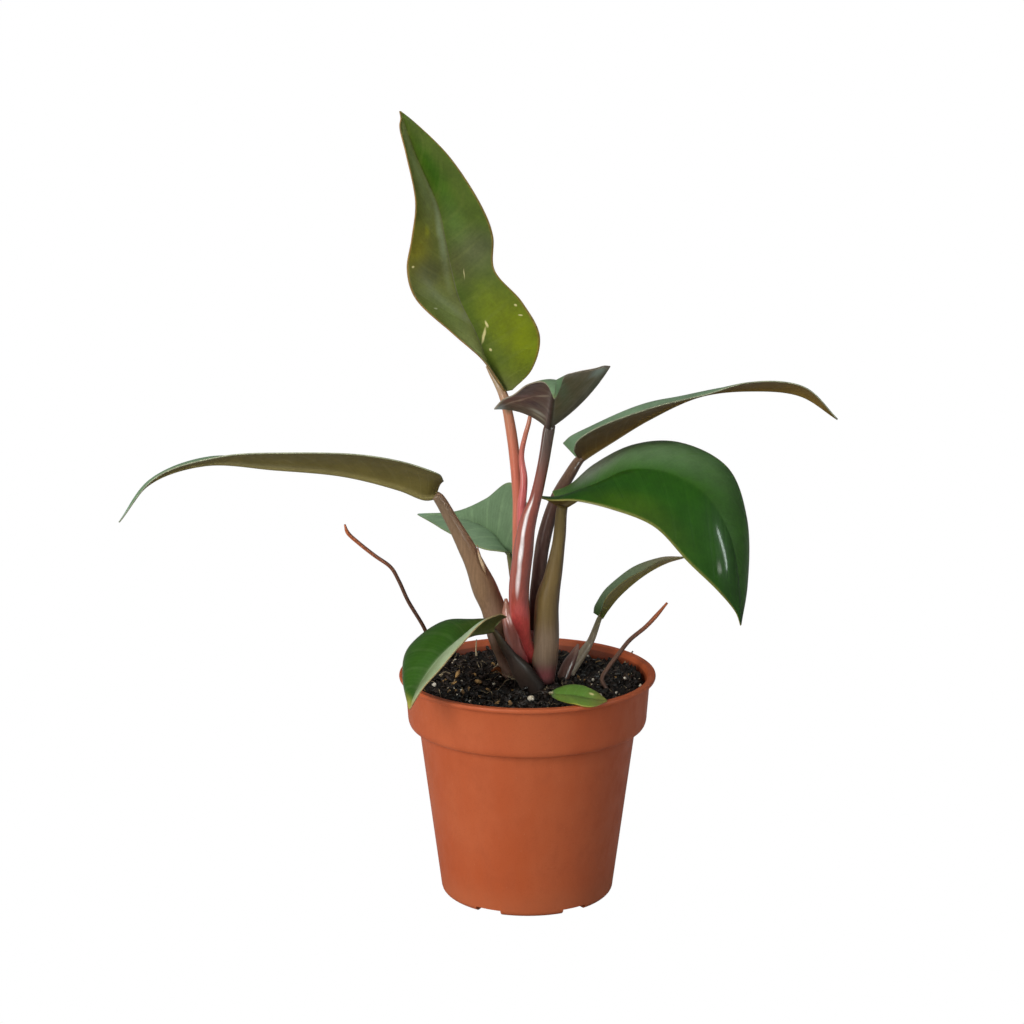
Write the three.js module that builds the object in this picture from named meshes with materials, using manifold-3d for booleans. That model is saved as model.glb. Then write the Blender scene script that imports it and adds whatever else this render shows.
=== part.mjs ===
// A young pink birkin philodendron in its moulded plastic nursery pot.
// Millimetres, +Z up. The origin is the centre of the pot's underside, +X is the
// side of the broad glossy leaf, and -Y is the side that the young leaf points to.

import * as THREE from 'three';
import { mergeVertices } from 'three/addons/utils/BufferGeometryUtils.js';
import Module from 'manifold-3d';

const wasm = await Module();
wasm.setup();

// Clearance kept where one piece touches the next.
const GAP = 0.3;

// Points closer than this, left along the line of a cut, are joined. They are sorted
// into cells of each size in turn, so that none stays apart on the edge of a cell.
const CUT_TOLERANCES = [0.05, 0.07];

// The pot's collar stands out from its body, and rounds in to it at its foot.
const POT = {
  height: 93,
  lipRadius: 52.5,
  lipHeight: 1.8,
  lipRounding: 0.5,
  wall: 1.4,
  collarTopRadius: 50.2,
  collarFootRadius: 49,
  collarFootHeight: 75.6,
  collarRounding: 1.5,
  bodyTopRadius: 44.5,
  bodyTopHeight: 71,
  bodyFootRadius: 35.6,
  footCorner: 2.5,
  floorHeight: 4.5,
  floorWall: 1.6,
  ringWidth: 4,
  discRadius: 11,
  facets: 60,
};

// The slots in the pot's foot ring, each with a drainage hole in the floor behind it.
const NOTCH = { count: 6, firstAngle: -117, width: 11, height: 2.2, depth: 12, holeRadius: 3.5 };

const SOIL = {
  surface: 87.8,
  slopeX: -0.03,
  slopeY: 0.01,
  mound: 3.5,
  moundRadius: 18,
  wallGap: 0.6,
  rings: 11,
  facets: 40,
};

// Crossed waves that make the clods: height in mm, then waves in radians per mm.
const CLODS = [
  { height: 0.6, x: 0.61, y: 0.53, phase: 1.3 },
  { height: 0.6, x: 0.61, y: -0.53, phase: 0.4 },
  { height: 0.5, x: 1.15, y: -0.9, phase: 0 },
  { height: 0.35, x: 0.8, y: 1.4, phase: 1.6 },
];

const STEM = { path: [[3, 0, 64], [3, 0, 86], [1, 1, 110]], radii: [8, 7, 4] };

const BLADE = {
  thickness: 0.8,
  midribDepth: 0.8,
  tipHalfWidth: 0.3,
  tipShare: 0.96,
  rowsPerStation: 2,
  columns: [-1, -0.68, -0.36, -0.08, 0, 0.08, 0.36, 0.68, 1],
};

const ROD = { sides: 10, thinSides: 6, thinRadius: 1.2, stepLength: 7, leastSteps: 4 };

const COLOUR = {
  pot: 0xb85a34,
  soil: 0x1d1916,
  stem: 0x6b5348,
  root: 0x7a5444,
  cataphyll: 0x8a6a5e,
};

// A leaf's stations run from the top of its petiole to its tip. Each station is a
// point of the midrib, then the points of the left and right edge that the veins
// from there run to, as seen from above with the tip pointing away. The last station
// is the tip alone. arch says how far each half bulges upwards, in half widths, at
// the petiole and at the tip.
const LEAVES = {
  tall: {
    colour: 0x4a6326,
    petioleColour: 0xb9705c,
    arch: { left: [0.1, 0.05], right: [0.08, 0.1] },
    stations: [
      [[-8.5, 6, 208.5], [-9.5, 4, 209.5], [-6.5, 5, 209]],
      [[-15.5, 7, 219], [-17, 1, 221], [1.5, 3, 218]],
      [[-21, 8.5, 232], [-29.5, -1, 233], [4.5, 2, 231.5]],
      [[-27.5, 9.5, 245.5], [-44.5, -1, 247.5], [-2.5, 3, 245]],
      [[-30.5, 9.5, 257.5], [-47.5, 0, 258], [-13.5, 5, 257.5]],
      [[-33, 9, 270], [-45.5, 1, 270.5], [-14, 4.5, 271]],
      [[-35.5, 8.5, 282], [-44, 0, 284.5], [-18, 3, 282]],
      [[-44, 6, 302.5], [-47.5, 1, 303.5], [-31.5, 2, 303]],
      [[-48.5, 4, 316], [-50, 2, 314.5], [-45.5, 3, 316.5]],
      [[-49, 3.5, 317.5], [-49.5, 3, 317.5], [-47.5, 3.5, 318]],
      [[-50, 3, 320]],
    ],
    petiole: [[-2, 2, 106], [-3.5, 3, 127], [-4, 3, 147.5], [-4, 4, 164], [-5.5, 5, 184],
      [-8, 5.5, 200], [-9.5, 6.5, 206], [-11.5, 8.5, 210], [-14, 9.5, 214],
      [-16.5, 10, 218]],
    petioleRadii: [3.2, 2.6, 2.2, 2.1, 2.2, 2, 1.9, 1.6, 1.1, 0.5],
  },
  young: {
    colour: 0x5d4a48,
    petioleColour: 0x8e4a44,
    arch: { left: [-0.06, 0.05], right: [0.12, 0.05] },
    stations: [
      [[8, -27, 199.5], [31.5, -26, 224], [-13, -26, 207]],
      [[8.5, -40, 207.5], [28, -42, 226.5], [-10, -40, 213]],
      [[9, -54, 216.5], [22, -56, 227.5], [-6, -54, 217.5]],
      [[9.5, -68, 224.5], [16, -68, 228.5], [-0.5, -68, 224]],
      [[10, -80, 228], [12.5, -80, 229], [4.5, -80, 227.5]],
      [[9.5, -90, 227.5], [11, -89, 227], [7, -89, 227.5]],
      [[9, -98, 224.5]],
    ],
    petiole: [[2.5, -5, 100], [-0.5, -11, 109.5], [-3, -14, 121], [-3.5, -16, 131.5], [-2, -19, 147],
      [0, -23, 161.5], [3, -25, 171.5], [6, -27, 186], [8, -27, 198.5], [8.5, -27.5, 201]],
    petioleRadii: [3, 2.2, 4, 4.2, 4, 3.3, 2.4, 2.2, 2.3, 2.1],
  },
  arching: {
    colour: 0x5f5a3a,
    petioleColour: 0x5c4740,
    arch: { left: [0.05, 0.05], right: [0.1, 0.05] },
    stations: [
      [[21.5, 24, 176], [15, 36, 181], [19, 12, 182.5]],
      [[25, 24, 178.5], [19, 42, 183], [20.5, 4, 189]],
      [[34, 23, 184.5], [29, 45, 187.5], [30, 2, 195]],
      [[49.5, 21, 194.5], [50.5, 42, 197], [48.5, 2, 202]],
      [[70, 18, 204.5], [71.5, 34, 202.5], [70, 4, 207]],
      [[90, 14, 207.5], [90.5, 22, 208.5], [88, 2, 212.5]],
      [[110, 10, 206], [110.5, 16, 208.5], [110.5, 4, 210.5]],
      [[125, 8, 196.5]],
    ],
    petiole: [[3.5, 4, 105.5], [3.5, 5, 122], [4.5, 7, 131], [6.5, 10, 145.5],
      [11.5, 15, 161.5], [18, 21, 172], [21, 24, 176], [22.5, 24, 177.5]],
    petioleRadii: [3, 2.8, 2.8, 2.9, 2.6, 2.3, 2, 1.6],
  },
  broad: {
    colour: 0x1f4a1c,
    petioleColour: 0x7a6a4c,
    arch: { left: [0.05, 0.12], right: [0.25, 0.1] },
    stations: [
      [[13, -11, 164], [10, 2, 168], [1.5, -15, 170.5]],
      [[18.5, -12, 167.5], [17.5, 10, 169], [8.5, -24, 170.5]],
      [[27, -13, 173.5], [26.5, 15, 176], [18.5, -30, 171.5]],
      [[39, -16, 180.5], [43, 12, 185], [32.5, -35, 169.5]],
      [[54, -22, 181], [60.5, 6, 187.5], [49, -40, 163.5]],
      [[69, -30, 174], [79.5, -6, 179.5], [62, -44, 150.5]],
      [[78.5, -36, 159], [86.5, -20, 162], [73.5, -46, 139.5]],
      [[82.5, -40, 138], [86, -32, 138], [81, -43, 130]],
      [[83, -42, 124.5]],
    ],
    petiole: [[7, -8, 91], [7, -8, 100], [7.5, -8, 109], [8, -8, 125.5], [10, -9, 135],
      [12.5, -10, 150.5], [13.5, -11, 163], [14, -11.5, 165.5]],
    petioleRadii: [4.2, 5.3, 5.3, 4.8, 3.6, 2.6, 2.2, 2],
  },
  long: {
    colour: 0x6a6038,
    petioleColour: 0x7d6552,
    arch: { left: [0.1, 0.05], right: [0.05, 0.05] },
    stations: [
      [[-36.5, -6, 168], [-32.5, -16, 177], [-34, 6, 170.5]],
      [[-41, -7, 167.5], [-35.5, -25, 181], [-40, 14, 171]],
      [[-51, -8, 171.5], [-45.5, -28, 185.5], [-50, 16, 174.5]],
      [[-73, -10, 177.5], [-68.5, -28, 189.5], [-73.5, 10, 178]],
      [[-100.5, -12, 180.5], [-97, -26, 189.5], [-102, 6, 180.5]],
      [[-128, -14, 182.5], [-123, -22, 187], [-128, -2, 183]],
      [[-150, -15, 175], [-147, -18, 178], [-150.5, -10, 175.5]],
      [[-162.5, -16, 159.5]],
    ],
    petiole: [[-1, 0, 86], [-6, 0, 91.5], [-11, 0, 100], [-12.5, -1, 109], [-13.5, -2, 119], [-17, -4, 128.5],
      [-23, -6, 143.5], [-30.5, -6, 158], [-36, -6, 167.5], [-37.5, -6.5, 168.5]],
    petioleRadii: [3.6, 3.8, 2, 4, 5, 5.2, 3.7, 2.6, 2.2, 1.6],
  },
  front: {
    colour: 0x33592c,
    petioleColour: 0x3d3029,
    arch: { left: [0.1, 0.05], right: [0.15, 0.15] },
    stations: [
      [[-14, -20, 116.5], [-8.5, -25, 123], [-11, -14.5, 118]],
      [[-17, -23, 116.5], [-11.5, -33, 126], [-15.5, -12.5, 118.5]],
      [[-21.5, -28, 117], [-17, -40, 125.5], [-21.5, -12, 118]],
      [[-27.5, -35, 116], [-25, -46, 119], [-33.5, -16, 118.5]],
      [[-36, -45, 110.5], [-32.5, -54, 112], [-47, -28, 111.5]],
      [[-43, -53, 101.5], [-40.5, -59, 104], [-49, -42, 103.5]],
      [[-46, -58, 95]],
    ],
    petiole: [[3, -12, 89], [-2.5, -15, 98], [-7, -17, 105], [-10.5, -19, 111],
      [-13.5, -20, 116], [-15, -21, 117]],
    petioleRadii: [4.6, 4, 2.2, 1.6, 1.1, 0.8],
  },
  rear: {
    colour: 0x55745c,
    petioleColour: 0x6f6a4a,
    arch: { left: [0.08, 0.05], right: [0.08, 0.05] },
    stations: [
      [[-6.5, 24, 135.5], [-9, 16, 139.5], [-2, 16, 141]],
      [[-9.5, 30, 138], [-16, 22, 139], [1, 20, 154]],
      [[-14.5, 40, 142], [-24.5, 32, 139.5], [-6.5, 36, 164]],
      [[-22.5, 50, 144], [-32, 42, 141], [-17.5, 50, 154]],
      [[-33.5, 60, 144], [-38.5, 54, 142], [-29.5, 60, 146.5]],
      [[-47, 72, 142.5]],
    ],
    petiole: [[1.5, 3, 88], [-3, 10, 103.5], [-4, 14, 119.5], [-5.5, 20, 128.5], [-7, 24.5, 135.5],
      [-7.5, 26, 137]],
    petioleRadii: [2.8, 2.8, 2.4, 1.9, 1.5, 1],
  },
  small: {
    colour: 0x566038,
    petioleColour: 0x7d7250,
    arch: { left: [0.08, 0.05], right: [0.08, 0.05] },
    stations: [
      [[30.5, 20, 110.5], [28, 27, 110.5], [31, 13, 115]],
      [[32.5, 20, 113.5], [29, 30, 113.5], [32, 8, 121]],
      [[38, 21, 120], [34, 31, 120.5], [36.5, 8, 126.5]],
      [[48, 23, 128], [44.5, 31, 129], [46.5, 12, 132]],
      [[57.5, 24, 133], [56, 28, 134], [56, 19, 135]],
      [[65.5, 25, 135]],
    ],
    petiole: [[15.5, 5, 88], [19, 9, 92.5], [23.5, 14, 97.5], [26.5, 17, 101.5], [30, 20, 110],
      [31, 20, 112]],
    petioleRadii: [2.6, 2.3, 1.9, 1.5, 1.1, 0.8],
  },
  seedling: {
    colour: 0x4a7030,
    petioleColour: 0x6a7040,
    arch: { left: [0.1, 0.1], right: [0.1, 0.1] },
    stations: [
      [[9.5, -24, 91], [9.5, -22, 91], [10, -27, 90.5]],
      [[13.5, -30, 92.5], [13.5, -25.5, 94], [13.5, -36, 91.5]],
      [[19, -37, 94], [19.5, -31, 96.5], [18.5, -46.5, 93.5]],
      [[25, -41, 94], [26, -37, 96], [25, -48, 93]],
      [[31, -42, 93.5]],
    ],
    petiole: [[4, -9, 80], [7, -14, 86], [9, -19, 89.5], [10, -25, 91.5]],
    petioleRadii: [0.9, 0.8, 0.7, 0.6],
  },
};

// Pointed or thread-like pieces: the rolled new leaf, the sheaths and the roots.
const SHOOTS = {
  spear: {
    colour: 0xd07a78,
    path: [[-2, -3, 112], [-2, -3, 141], [-2.5, -2, 161.5], [-1.5, -1, 173.5],
      [-2.5, 0, 183.5], [-1, 0, 191.5], [0.5, 0, 197], [1.5, 0, 204]],
    radii: [2, 2, 1.8, 1.5, 1.1, 1, 0.9, 0.5],
  },
  cataphyll: {
    colour: COLOUR.cataphyll,
    path: [[12, -2, 86], [14.5, 1, 90], [17, 4, 95], [19.5, 7, 99], [21, 9, 102]],
    radii: [2.4, 2.8, 2.5, 1.6, 0.5],
  },
  cataphyll_dry: {
    colour: COLOUR.cataphyll,
    path: [[-6, 0, 90], [-10, 0, 93], [-12.5, -2, 95], [-14.5, -4, 94.5]],
    radii: [1.2, 1.2, 0.8, 0.4],
  },
  root_right: {
    colour: COLOUR.root,
    path: [[35.5, -8, 78], [35, -8, 84], [32, -6, 88], [30.5, -3, 91], [33, 0, 94.5],
      [38, 3, 100.5], [42, 5, 105], [48.5, 7, 110], [52.5, 8, 114], [57.5, 10, 119.5]],
    radii: [1, 1, 0.9, 0.9, 0.9, 0.9, 0.9, 0.9, 0.9, 0.5],
  },
  root_left: {
    colour: COLOUR.root,
    path: [[-37.5, 24, 78], [-38, 24, 87.5], [-40, 20, 97.5], [-42.5, 15, 107],
      [-49, 8, 121], [-52.5, 4, 130.5], [-55.5, 2, 136.5], [-62, 0, 142],
      [-68, -2, 147.5], [-72.5, -4, 152.5], [-73.5, -5, 156]],
    radii: [0.8, 0.8, 0.8, 0.8, 0.8, 0.8, 0.8, 0.8, 0.8, 0.8, 0.4],
  },
};

const vector = (point) => new THREE.Vector3(...point);
const spline = (points) => new THREE.CatmullRomCurve3(points.map(vector));

// Value at t, from 0 to 1, of a list of evenly spread numbers joined by straight lines.
function along(values, t) {
  const place = t * (values.length - 1);
  const step = Math.min(Math.floor(place), values.length - 2);
  return THREE.MathUtils.lerp(values[step], values[step + 1], place - step);
}

// Keeps only the places of a geometry's points, joins the ones that coincide and drops
// the triangles that this leaves without an area.
function weld(geometry, tolerance = 1e-4) {
  geometry.deleteAttribute('normal');
  geometry.deleteAttribute('uv');
  const welded = mergeVertices(geometry, tolerance);
  const corners = welded.index.array;
  const kept = [];
  for (let i = 0; i < corners.length; i += 3) {
    const [a, b, c] = corners.slice(i, i + 3);
    if (a !== b && b !== c && c !== a) kept.push(a, b, c);
  }
  welded.setIndex(kept);
  return welded;
}

function toSolid(geometry) {
  return new wasm.Manifold(new wasm.Mesh({
    numProp: 3,
    vertProperties: new Float32Array(geometry.attributes.position.array),
    triVerts: new Uint32Array(geometry.index.array),
  }));
}

function toGeometry(solid) {
  const mesh = solid.getMesh();
  const geometry = new THREE.BufferGeometry();
  geometry.setAttribute('position', new THREE.BufferAttribute(mesh.vertProperties, 3));
  geometry.setIndex(new THREE.BufferAttribute(mesh.triVerts, 1));
  return geometry;
}

// The largest connected body of a cut solid.
function largest(solid) {
  const bodies = solid.decompose();
  return bodies.reduce((best, body) => (body.volume() > best.volume() ? body : best));
}

function cutClear(geometry, obstacles) {
  let solid = toSolid(geometry);
  for (const obstacle of obstacles) solid = solid.subtract(obstacle);
  return CUT_TOLERANCES.reduce(weld, toGeometry(largest(solid)));
}

// A round, closed rod bent along a smooth path. extra widens it, for clearance holes.
function rodGeometry(path, radii, extra = 0) {
  const curve = spline(path);
  const steps = Math.max(ROD.leastSteps, Math.round(curve.getLength() / ROD.stepLength));
  const frames = curve.computeFrenetFrames(steps);
  const sides = Math.max(...radii) > ROD.thinRadius ? ROD.sides : ROD.thinSides;
  const rod = new THREE.CylinderGeometry(1, 1, 1, sides, steps);
  const places = rod.attributes.position;
  for (let i = 0; i < places.count; i += 1) {
    const u = places.getY(i) + 0.5;
    const step = Math.round(u * steps);
    const radius = along(radii, curve.getUtoTmapping(u)) + extra;
    const point = curve.getPointAt(u)
      .addScaledVector(frames.normals[step], places.getX(i) * radius)
      .addScaledVector(frames.binormals[step], -places.getZ(i) * radius);
    places.setXYZ(i, point.x, point.y, point.z);
  }
  return weld(rod);
}

// The middle surface of a blade, one row of points for each step towards the tip.
function bladeRows({ stations, arch }) {
  const rib = spline(stations.map((station) => station[0]));
  const edges = {
    left: spline(stations.map((station) => station[1] ?? station[0])),
    right: spline(stations.map((station) => station[2] ?? station[0])),
  };
  const rowCount = BLADE.rowsPerStation * (stations.length - 1);
  const rows = [];
  for (let row = 0; row <= rowCount; row += 1) {
    const t = row / rowCount;
    const centre = rib.getPoint(t);
    const forward = rib.getTangent(t);
    rows.push(BLADE.columns.map((column) => {
      const side = column < 0 ? 'left' : 'right';
      const reach = edges[side].getPoint(t).sub(centre);
      const nearTip = Math.min(t, BLADE.tipShare);
      const outward = edges[side].getPoint(nearTip).sub(rib.getPoint(nearTip)).normalize();
      const up = new THREE.Vector3().crossVectors(forward, outward).normalize();
      if (side === 'right') up.negate();
      const share = Math.abs(column);
      const rise = THREE.MathUtils.lerp(...arch[side], t) * reach.length();
      return centre.clone()
        .addScaledVector(reach, share)
        .addScaledVector(outward, share * BLADE.tipHalfWidth)
        .addScaledVector(up, 4 * share * (1 - share) * rise);
    }));
  }
  return rows;
}

// A blade of even thickness about its middle surface, with the midrib standing out of
// its underside. Both faces are split into triangles alike, so that they never cross.
function bladeGeometry(leaf, extra = 0) {
  const rows = bladeRows(leaf);
  const last = rows.length - 1;
  const width = BLADE.columns.length;
  const upper = [];
  const lower = [];
  rows.forEach((row, r) => row.forEach((point, c) => {
    const down = rows[Math.min(r + 1, last)][c].clone().sub(rows[Math.max(r - 1, 0)][c]);
    const across = row[Math.min(c + 1, width - 1)].clone().sub(row[Math.max(c - 1, 0)]);
    const normal = across.clone().cross(down).normalize();
    const rib = BLADE.columns[c] === 0 ? BLADE.midribDepth * (1 - r / last) : 0;
    const half = BLADE.thickness / 2 + extra;
    const middle = point.clone()
      .addScaledVector(down.normalize(), extra * (r === last ? 1 : -Number(r === 0)))
      .addScaledVector(across.normalize(), extra * (c === width - 1 ? 1 : -Number(c === 0)));
    upper.push(...middle.clone().addScaledVector(normal, half));
    lower.push(...middle.addScaledVector(normal, -half - rib));
  }));
  const count = rows.length * width;
  const index = [];
  for (let r = 0; r < last; r += 1) {
    for (let c = 0; c < width - 1; c += 1) {
      const a = r * width + c;
      const b = a + 1;
      const d = a + width;
      const e = d + 1;
      index.push(a, b, d, b, e, d);
      index.push(a + count, d + count, b + count, b + count, d + count, e + count);
    }
  }
  const rim = [];
  for (let c = 0; c < width - 1; c += 1) rim.push(c);
  for (let r = 0; r < last; r += 1) rim.push(r * width + width - 1);
  for (let c = width - 1; c > 0; c -= 1) rim.push(last * width + c);
  for (let r = last; r > 0; r -= 1) rim.push(r * width);
  rim.forEach((from, i) => {
    const to = rim[(i + 1) % rim.length];
    index.push(from, from + count, to, to, from + count, to + count);
  });
  const geometry = new THREE.BufferGeometry();
  geometry.setAttribute('position', new THREE.Float32BufferAttribute([...upper, ...lower], 3));
  geometry.setIndex(index);
  return geometry;
}

// A profile of [radius, height] points turned about the upright axis.
function turned(profile, facets) {
  const points = profile.map(([radius, height]) => new THREE.Vector2(radius, height));
  return weld(new THREE.LatheGeometry(points, facets).rotateX(Math.PI / 2));
}

// Points of an arc from angle a to angle b, in degrees, about a centre of the profile.
function arc(radius, height, size, a, b) {
  return [0, 0.5, 1].map((part) => {
    const angle = THREE.MathUtils.degToRad(THREE.MathUtils.lerp(a, b, part));
    return [radius + size * Math.cos(angle), height + size * Math.sin(angle)];
  });
}

const LIP_FOOT = POT.height - POT.lipHeight;
const RING_RADIUS = POT.bodyFootRadius - POT.footCorner;

// The pot's inner wall, from the floor up to just under the lip.
const POT_INSIDE = [
  [RING_RADIUS, POT.floorHeight],
  [POT.bodyFootRadius - POT.wall, POT.floorHeight + POT.footCorner],
  [POT.bodyTopRadius - POT.wall, POT.bodyTopHeight - POT.wall],
  [POT.bodyTopRadius - POT.wall / 4, POT.bodyTopHeight + POT.wall],
  [POT.collarFootRadius - POT.wall, POT.collarFootHeight],
  [POT.collarTopRadius - POT.wall, LIP_FOOT - POT.lipRounding],
];

function potGeometry() {
  const underside = POT.floorHeight - POT.floorWall;
  const ringInside = RING_RADIUS - POT.ringWidth;
  const outside = [
    [0, 0],
    [POT.discRadius, 0],
    [POT.discRadius + 1, underside],
    [ringInside - 1, underside],
    [ringInside, 0],
    ...arc(RING_RADIUS, POT.footCorner, POT.footCorner, -90, 0),
    [POT.bodyTopRadius, POT.bodyTopHeight],
    [POT.collarFootRadius - POT.collarRounding, POT.bodyTopHeight + POT.collarRounding / 2],
    [POT.collarFootRadius, POT.collarFootHeight],
    [POT.collarTopRadius, LIP_FOOT - POT.lipRounding],
    [POT.lipRadius - POT.lipRounding, LIP_FOOT],
    [POT.lipRadius, LIP_FOOT + POT.lipHeight / 2],
    [POT.lipRadius - POT.lipRounding, POT.height],
    [POT.collarTopRadius - POT.lipRounding, POT.height],
  ];
  const inside = [...POT_INSIDE].reverse();
  const profile = [...outside, ...inside, [0, POT.floorHeight]];
  let pot = toSolid(turned(profile, POT.facets));
  for (let i = 0; i < NOTCH.count; i += 1) {
    const angle = THREE.MathUtils.degToRad(NOTCH.firstAngle + (360 / NOTCH.count) * i);
    const slot = new THREE.BoxGeometry(NOTCH.depth, NOTCH.width, 2 * NOTCH.height);
    const hole = new THREE.CylinderGeometry(
      NOTCH.holeRadius, NOTCH.holeRadius, 2 * POT.floorHeight, 12);
    hole.rotateX(Math.PI / 2).translate(-NOTCH.holeRadius, 0, NOTCH.height);
    for (const tool of [slot, hole]) {
      tool.translate(RING_RADIUS, 0, 0).rotateZ(angle);
      pot = pot.subtract(toSolid(weld(tool)));
    }
  }
  return toGeometry(pot);
}

// The soil's surface: it slopes a little, has clods, and is heaped round the stem.
function soilHeight(x, y) {
  const clods = CLODS.reduce((sum, wave) => (
    sum + wave.height * Math.sin(wave.x * x + wave.y * y + wave.phase)), 0);
  const [stemX, stemY] = STEM.path[0];
  const away = Math.hypot(x - stemX, y - stemY) / SOIL.moundRadius;
  return SOIL.surface + SOIL.slopeX * x + SOIL.slopeY * y + clods
    + SOIL.mound * Math.exp(-away * away);
}

// The soil fills the pot up to its surface, just clear of the inner wall.
function soilGeometry() {
  const wall = POT_INSIDE.slice(0, -1).map(([radius, height]) => (
    [radius - SOIL.wallGap, height + SOIL.wallGap]));
  const topRadius = POT.collarTopRadius - POT.wall - 2 * SOIL.wallGap;
  const surface = Array.from({ length: SOIL.rings + 1 }, (_, ring) => (
    [topRadius * (1 - ring / SOIL.rings), SOIL.surface]));
  const foot = [0, POT.floorHeight + SOIL.wallGap];
  const soil = turned([foot, ...wall, ...surface], SOIL.facets);
  const places = soil.attributes.position;
  for (let i = 0; i < places.count; i += 1) {
    if (places.getZ(i) > SOIL.surface - GAP) {
      places.setZ(i, soilHeight(places.getX(i), places.getY(i)));
    }
  }
  return soil;
}

const plant = new THREE.Group();
plant.name = 'potted_philodendron';

function addPiece(name, geometry, colour, roughness) {
  const material = new THREE.MeshStandardMaterial({ color: colour, roughness, metalness: 0 });
  const mesh = new THREE.Mesh(geometry, material);
  mesh.name = name;
  plant.add(mesh);
}

addPiece('stem', rodGeometry(STEM.path, STEM.radii), COLOUR.stem, 0.6);

// Each stalk's foot is cut to lie against the stem and the stalks that were there
// before it, and its top against its own blade.
const inTheWay = [toSolid(rodGeometry(STEM.path, STEM.radii, GAP))];

for (const [name, leaf] of Object.entries(LEAVES)) {
  addPiece(`blade_${name}`, bladeGeometry(leaf), leaf.colour, 0.35);
  const ownBlade = toSolid(bladeGeometry(leaf, GAP));
  const petiole = rodGeometry(leaf.petiole, leaf.petioleRadii);
  addPiece(`petiole_${name}`, cutClear(petiole, [...inTheWay, ownBlade]), leaf.petioleColour, 0.4);
  inTheWay.push(toSolid(rodGeometry(leaf.petiole, leaf.petioleRadii, GAP)));
}

for (const [name, shoot] of Object.entries(SHOOTS)) {
  const geometry = rodGeometry(shoot.path, shoot.radii);
  addPiece(name, cutClear(geometry, inTheWay), shoot.colour, 0.5);
  inTheWay.push(toSolid(rodGeometry(shoot.path, shoot.radii, GAP)));
}

addPiece('soil', cutClear(soilGeometry(), inTheWay), COLOUR.soil, 0.95);
addPiece('pot', potGeometry(), COLOUR.pot, 0.55);

export default plant;
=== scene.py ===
"""A potted pink birkin philodendron: its leaves, stalks, roots, soil and plastic nursery pot.

Sizes are in millimetres where a comment or a name doesn't say otherwise, and every mesh is made
in metres in the frame's own axes: +Z up, with the origin under the middle of the pot.
"""

import logging
import math
import random
from dataclasses import dataclass, field
from enum import Enum
from typing import Any, Callable, Iterable, Sequence

import bmesh
import bpy
import numpy as np
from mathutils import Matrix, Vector, noise

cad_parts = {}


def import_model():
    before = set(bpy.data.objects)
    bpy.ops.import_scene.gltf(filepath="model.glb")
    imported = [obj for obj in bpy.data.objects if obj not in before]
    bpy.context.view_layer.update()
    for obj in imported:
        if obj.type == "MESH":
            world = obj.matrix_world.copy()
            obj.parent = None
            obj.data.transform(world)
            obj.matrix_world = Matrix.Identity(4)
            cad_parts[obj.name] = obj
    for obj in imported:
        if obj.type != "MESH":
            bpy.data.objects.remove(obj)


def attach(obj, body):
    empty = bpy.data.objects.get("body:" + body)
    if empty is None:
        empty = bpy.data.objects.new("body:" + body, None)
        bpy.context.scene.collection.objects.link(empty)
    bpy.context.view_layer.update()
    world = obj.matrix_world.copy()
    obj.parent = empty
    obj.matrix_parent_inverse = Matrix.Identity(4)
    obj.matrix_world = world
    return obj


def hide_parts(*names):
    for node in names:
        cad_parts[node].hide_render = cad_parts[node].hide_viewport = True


logging.basicConfig(level=logging.INFO, format="%(message)s")
LOG = logging.getLogger("philodendron")

MM = 0.001
BODY = "root"

Point = tuple[float, float, float]
Colour = tuple[float, float, float, float]
Span = tuple[float, float]
Tree = bpy.types.NodeTree
Piece = bpy.types.Object
Material = bpy.types.Material


def linear(code: str) -> Colour:
    """Turn an sRGB hex colour into the linear colour that shaders use.

    Args:
        code: The colour as six hex digits.

    Returns:
        Red, green and blue in linear light, and an alpha of 1.
    """
    # The sRGB curve is straight near black and a power above that.
    shares = [int(code[i : i + 2], 16) / 255 for i in (0, 2, 4)]
    lit = [s / 12.92 if s <= 0.04045 else ((s + 0.055) / 1.055) ** 2.4 for s in shares]
    return (lit[0], lit[1], lit[2], 1.0)


def add_node(tree: Tree, kind: str, inputs: dict | None = None, **settings: Any) -> bpy.types.Node:
    """Add a shader node with its settings, fixed inputs and links.

    Args:
        tree: The material's or world's node tree.
        kind: The node's type name.
        inputs: Values or sockets for the node's inputs, by name or number.
        settings: The node's own properties.

    Returns:
        The new node.
    """
    node = tree.nodes.new(kind)
    for name, value in settings.items():
        setattr(node, name, value)
    for name, value in (inputs or {}).items():
        if isinstance(value, bpy.types.NodeSocket):
            tree.links.new(value, node.inputs[name])
        else:
            node.inputs[name].default_value = value
    return node


def new_material(name: str) -> tuple[Material, Tree]:
    """Make an empty material.

    Args:
        name: The material's name.

    Returns:
        The material and its cleared node tree.
    """
    material = bpy.data.materials.new(name)
    material.use_nodes = True
    material.node_tree.nodes.clear()
    return material, material.node_tree


def surface(tree: Tree, inputs: dict) -> None:
    """End a material with a Principled shader that has the given inputs."""
    shader = add_node(tree, "ShaderNodeBsdfPrincipled", inputs)
    add_node(tree, "ShaderNodeOutputMaterial", {"Surface": shader.outputs[0]})


def mapped(tree: Tree, value: Any, low: float, high: float, to_low: float, to_high: float) -> Any:
    """Map a value from one range to another with a soft start and end, and return the socket."""
    inputs = {"Value": value, 1: low, 2: high, 3: to_low, 4: to_high}
    return add_node(tree, "ShaderNodeMapRange", inputs, interpolation_type="SMOOTHSTEP").outputs[0]


def maths(tree: Tree, operation: str, first: Any, second: Any = 0.0) -> Any:
    """Add a maths node on one or two values and return its socket."""
    return add_node(tree, "ShaderNodeMath", {0: first, 1: second}, operation=operation).outputs[0]


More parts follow.
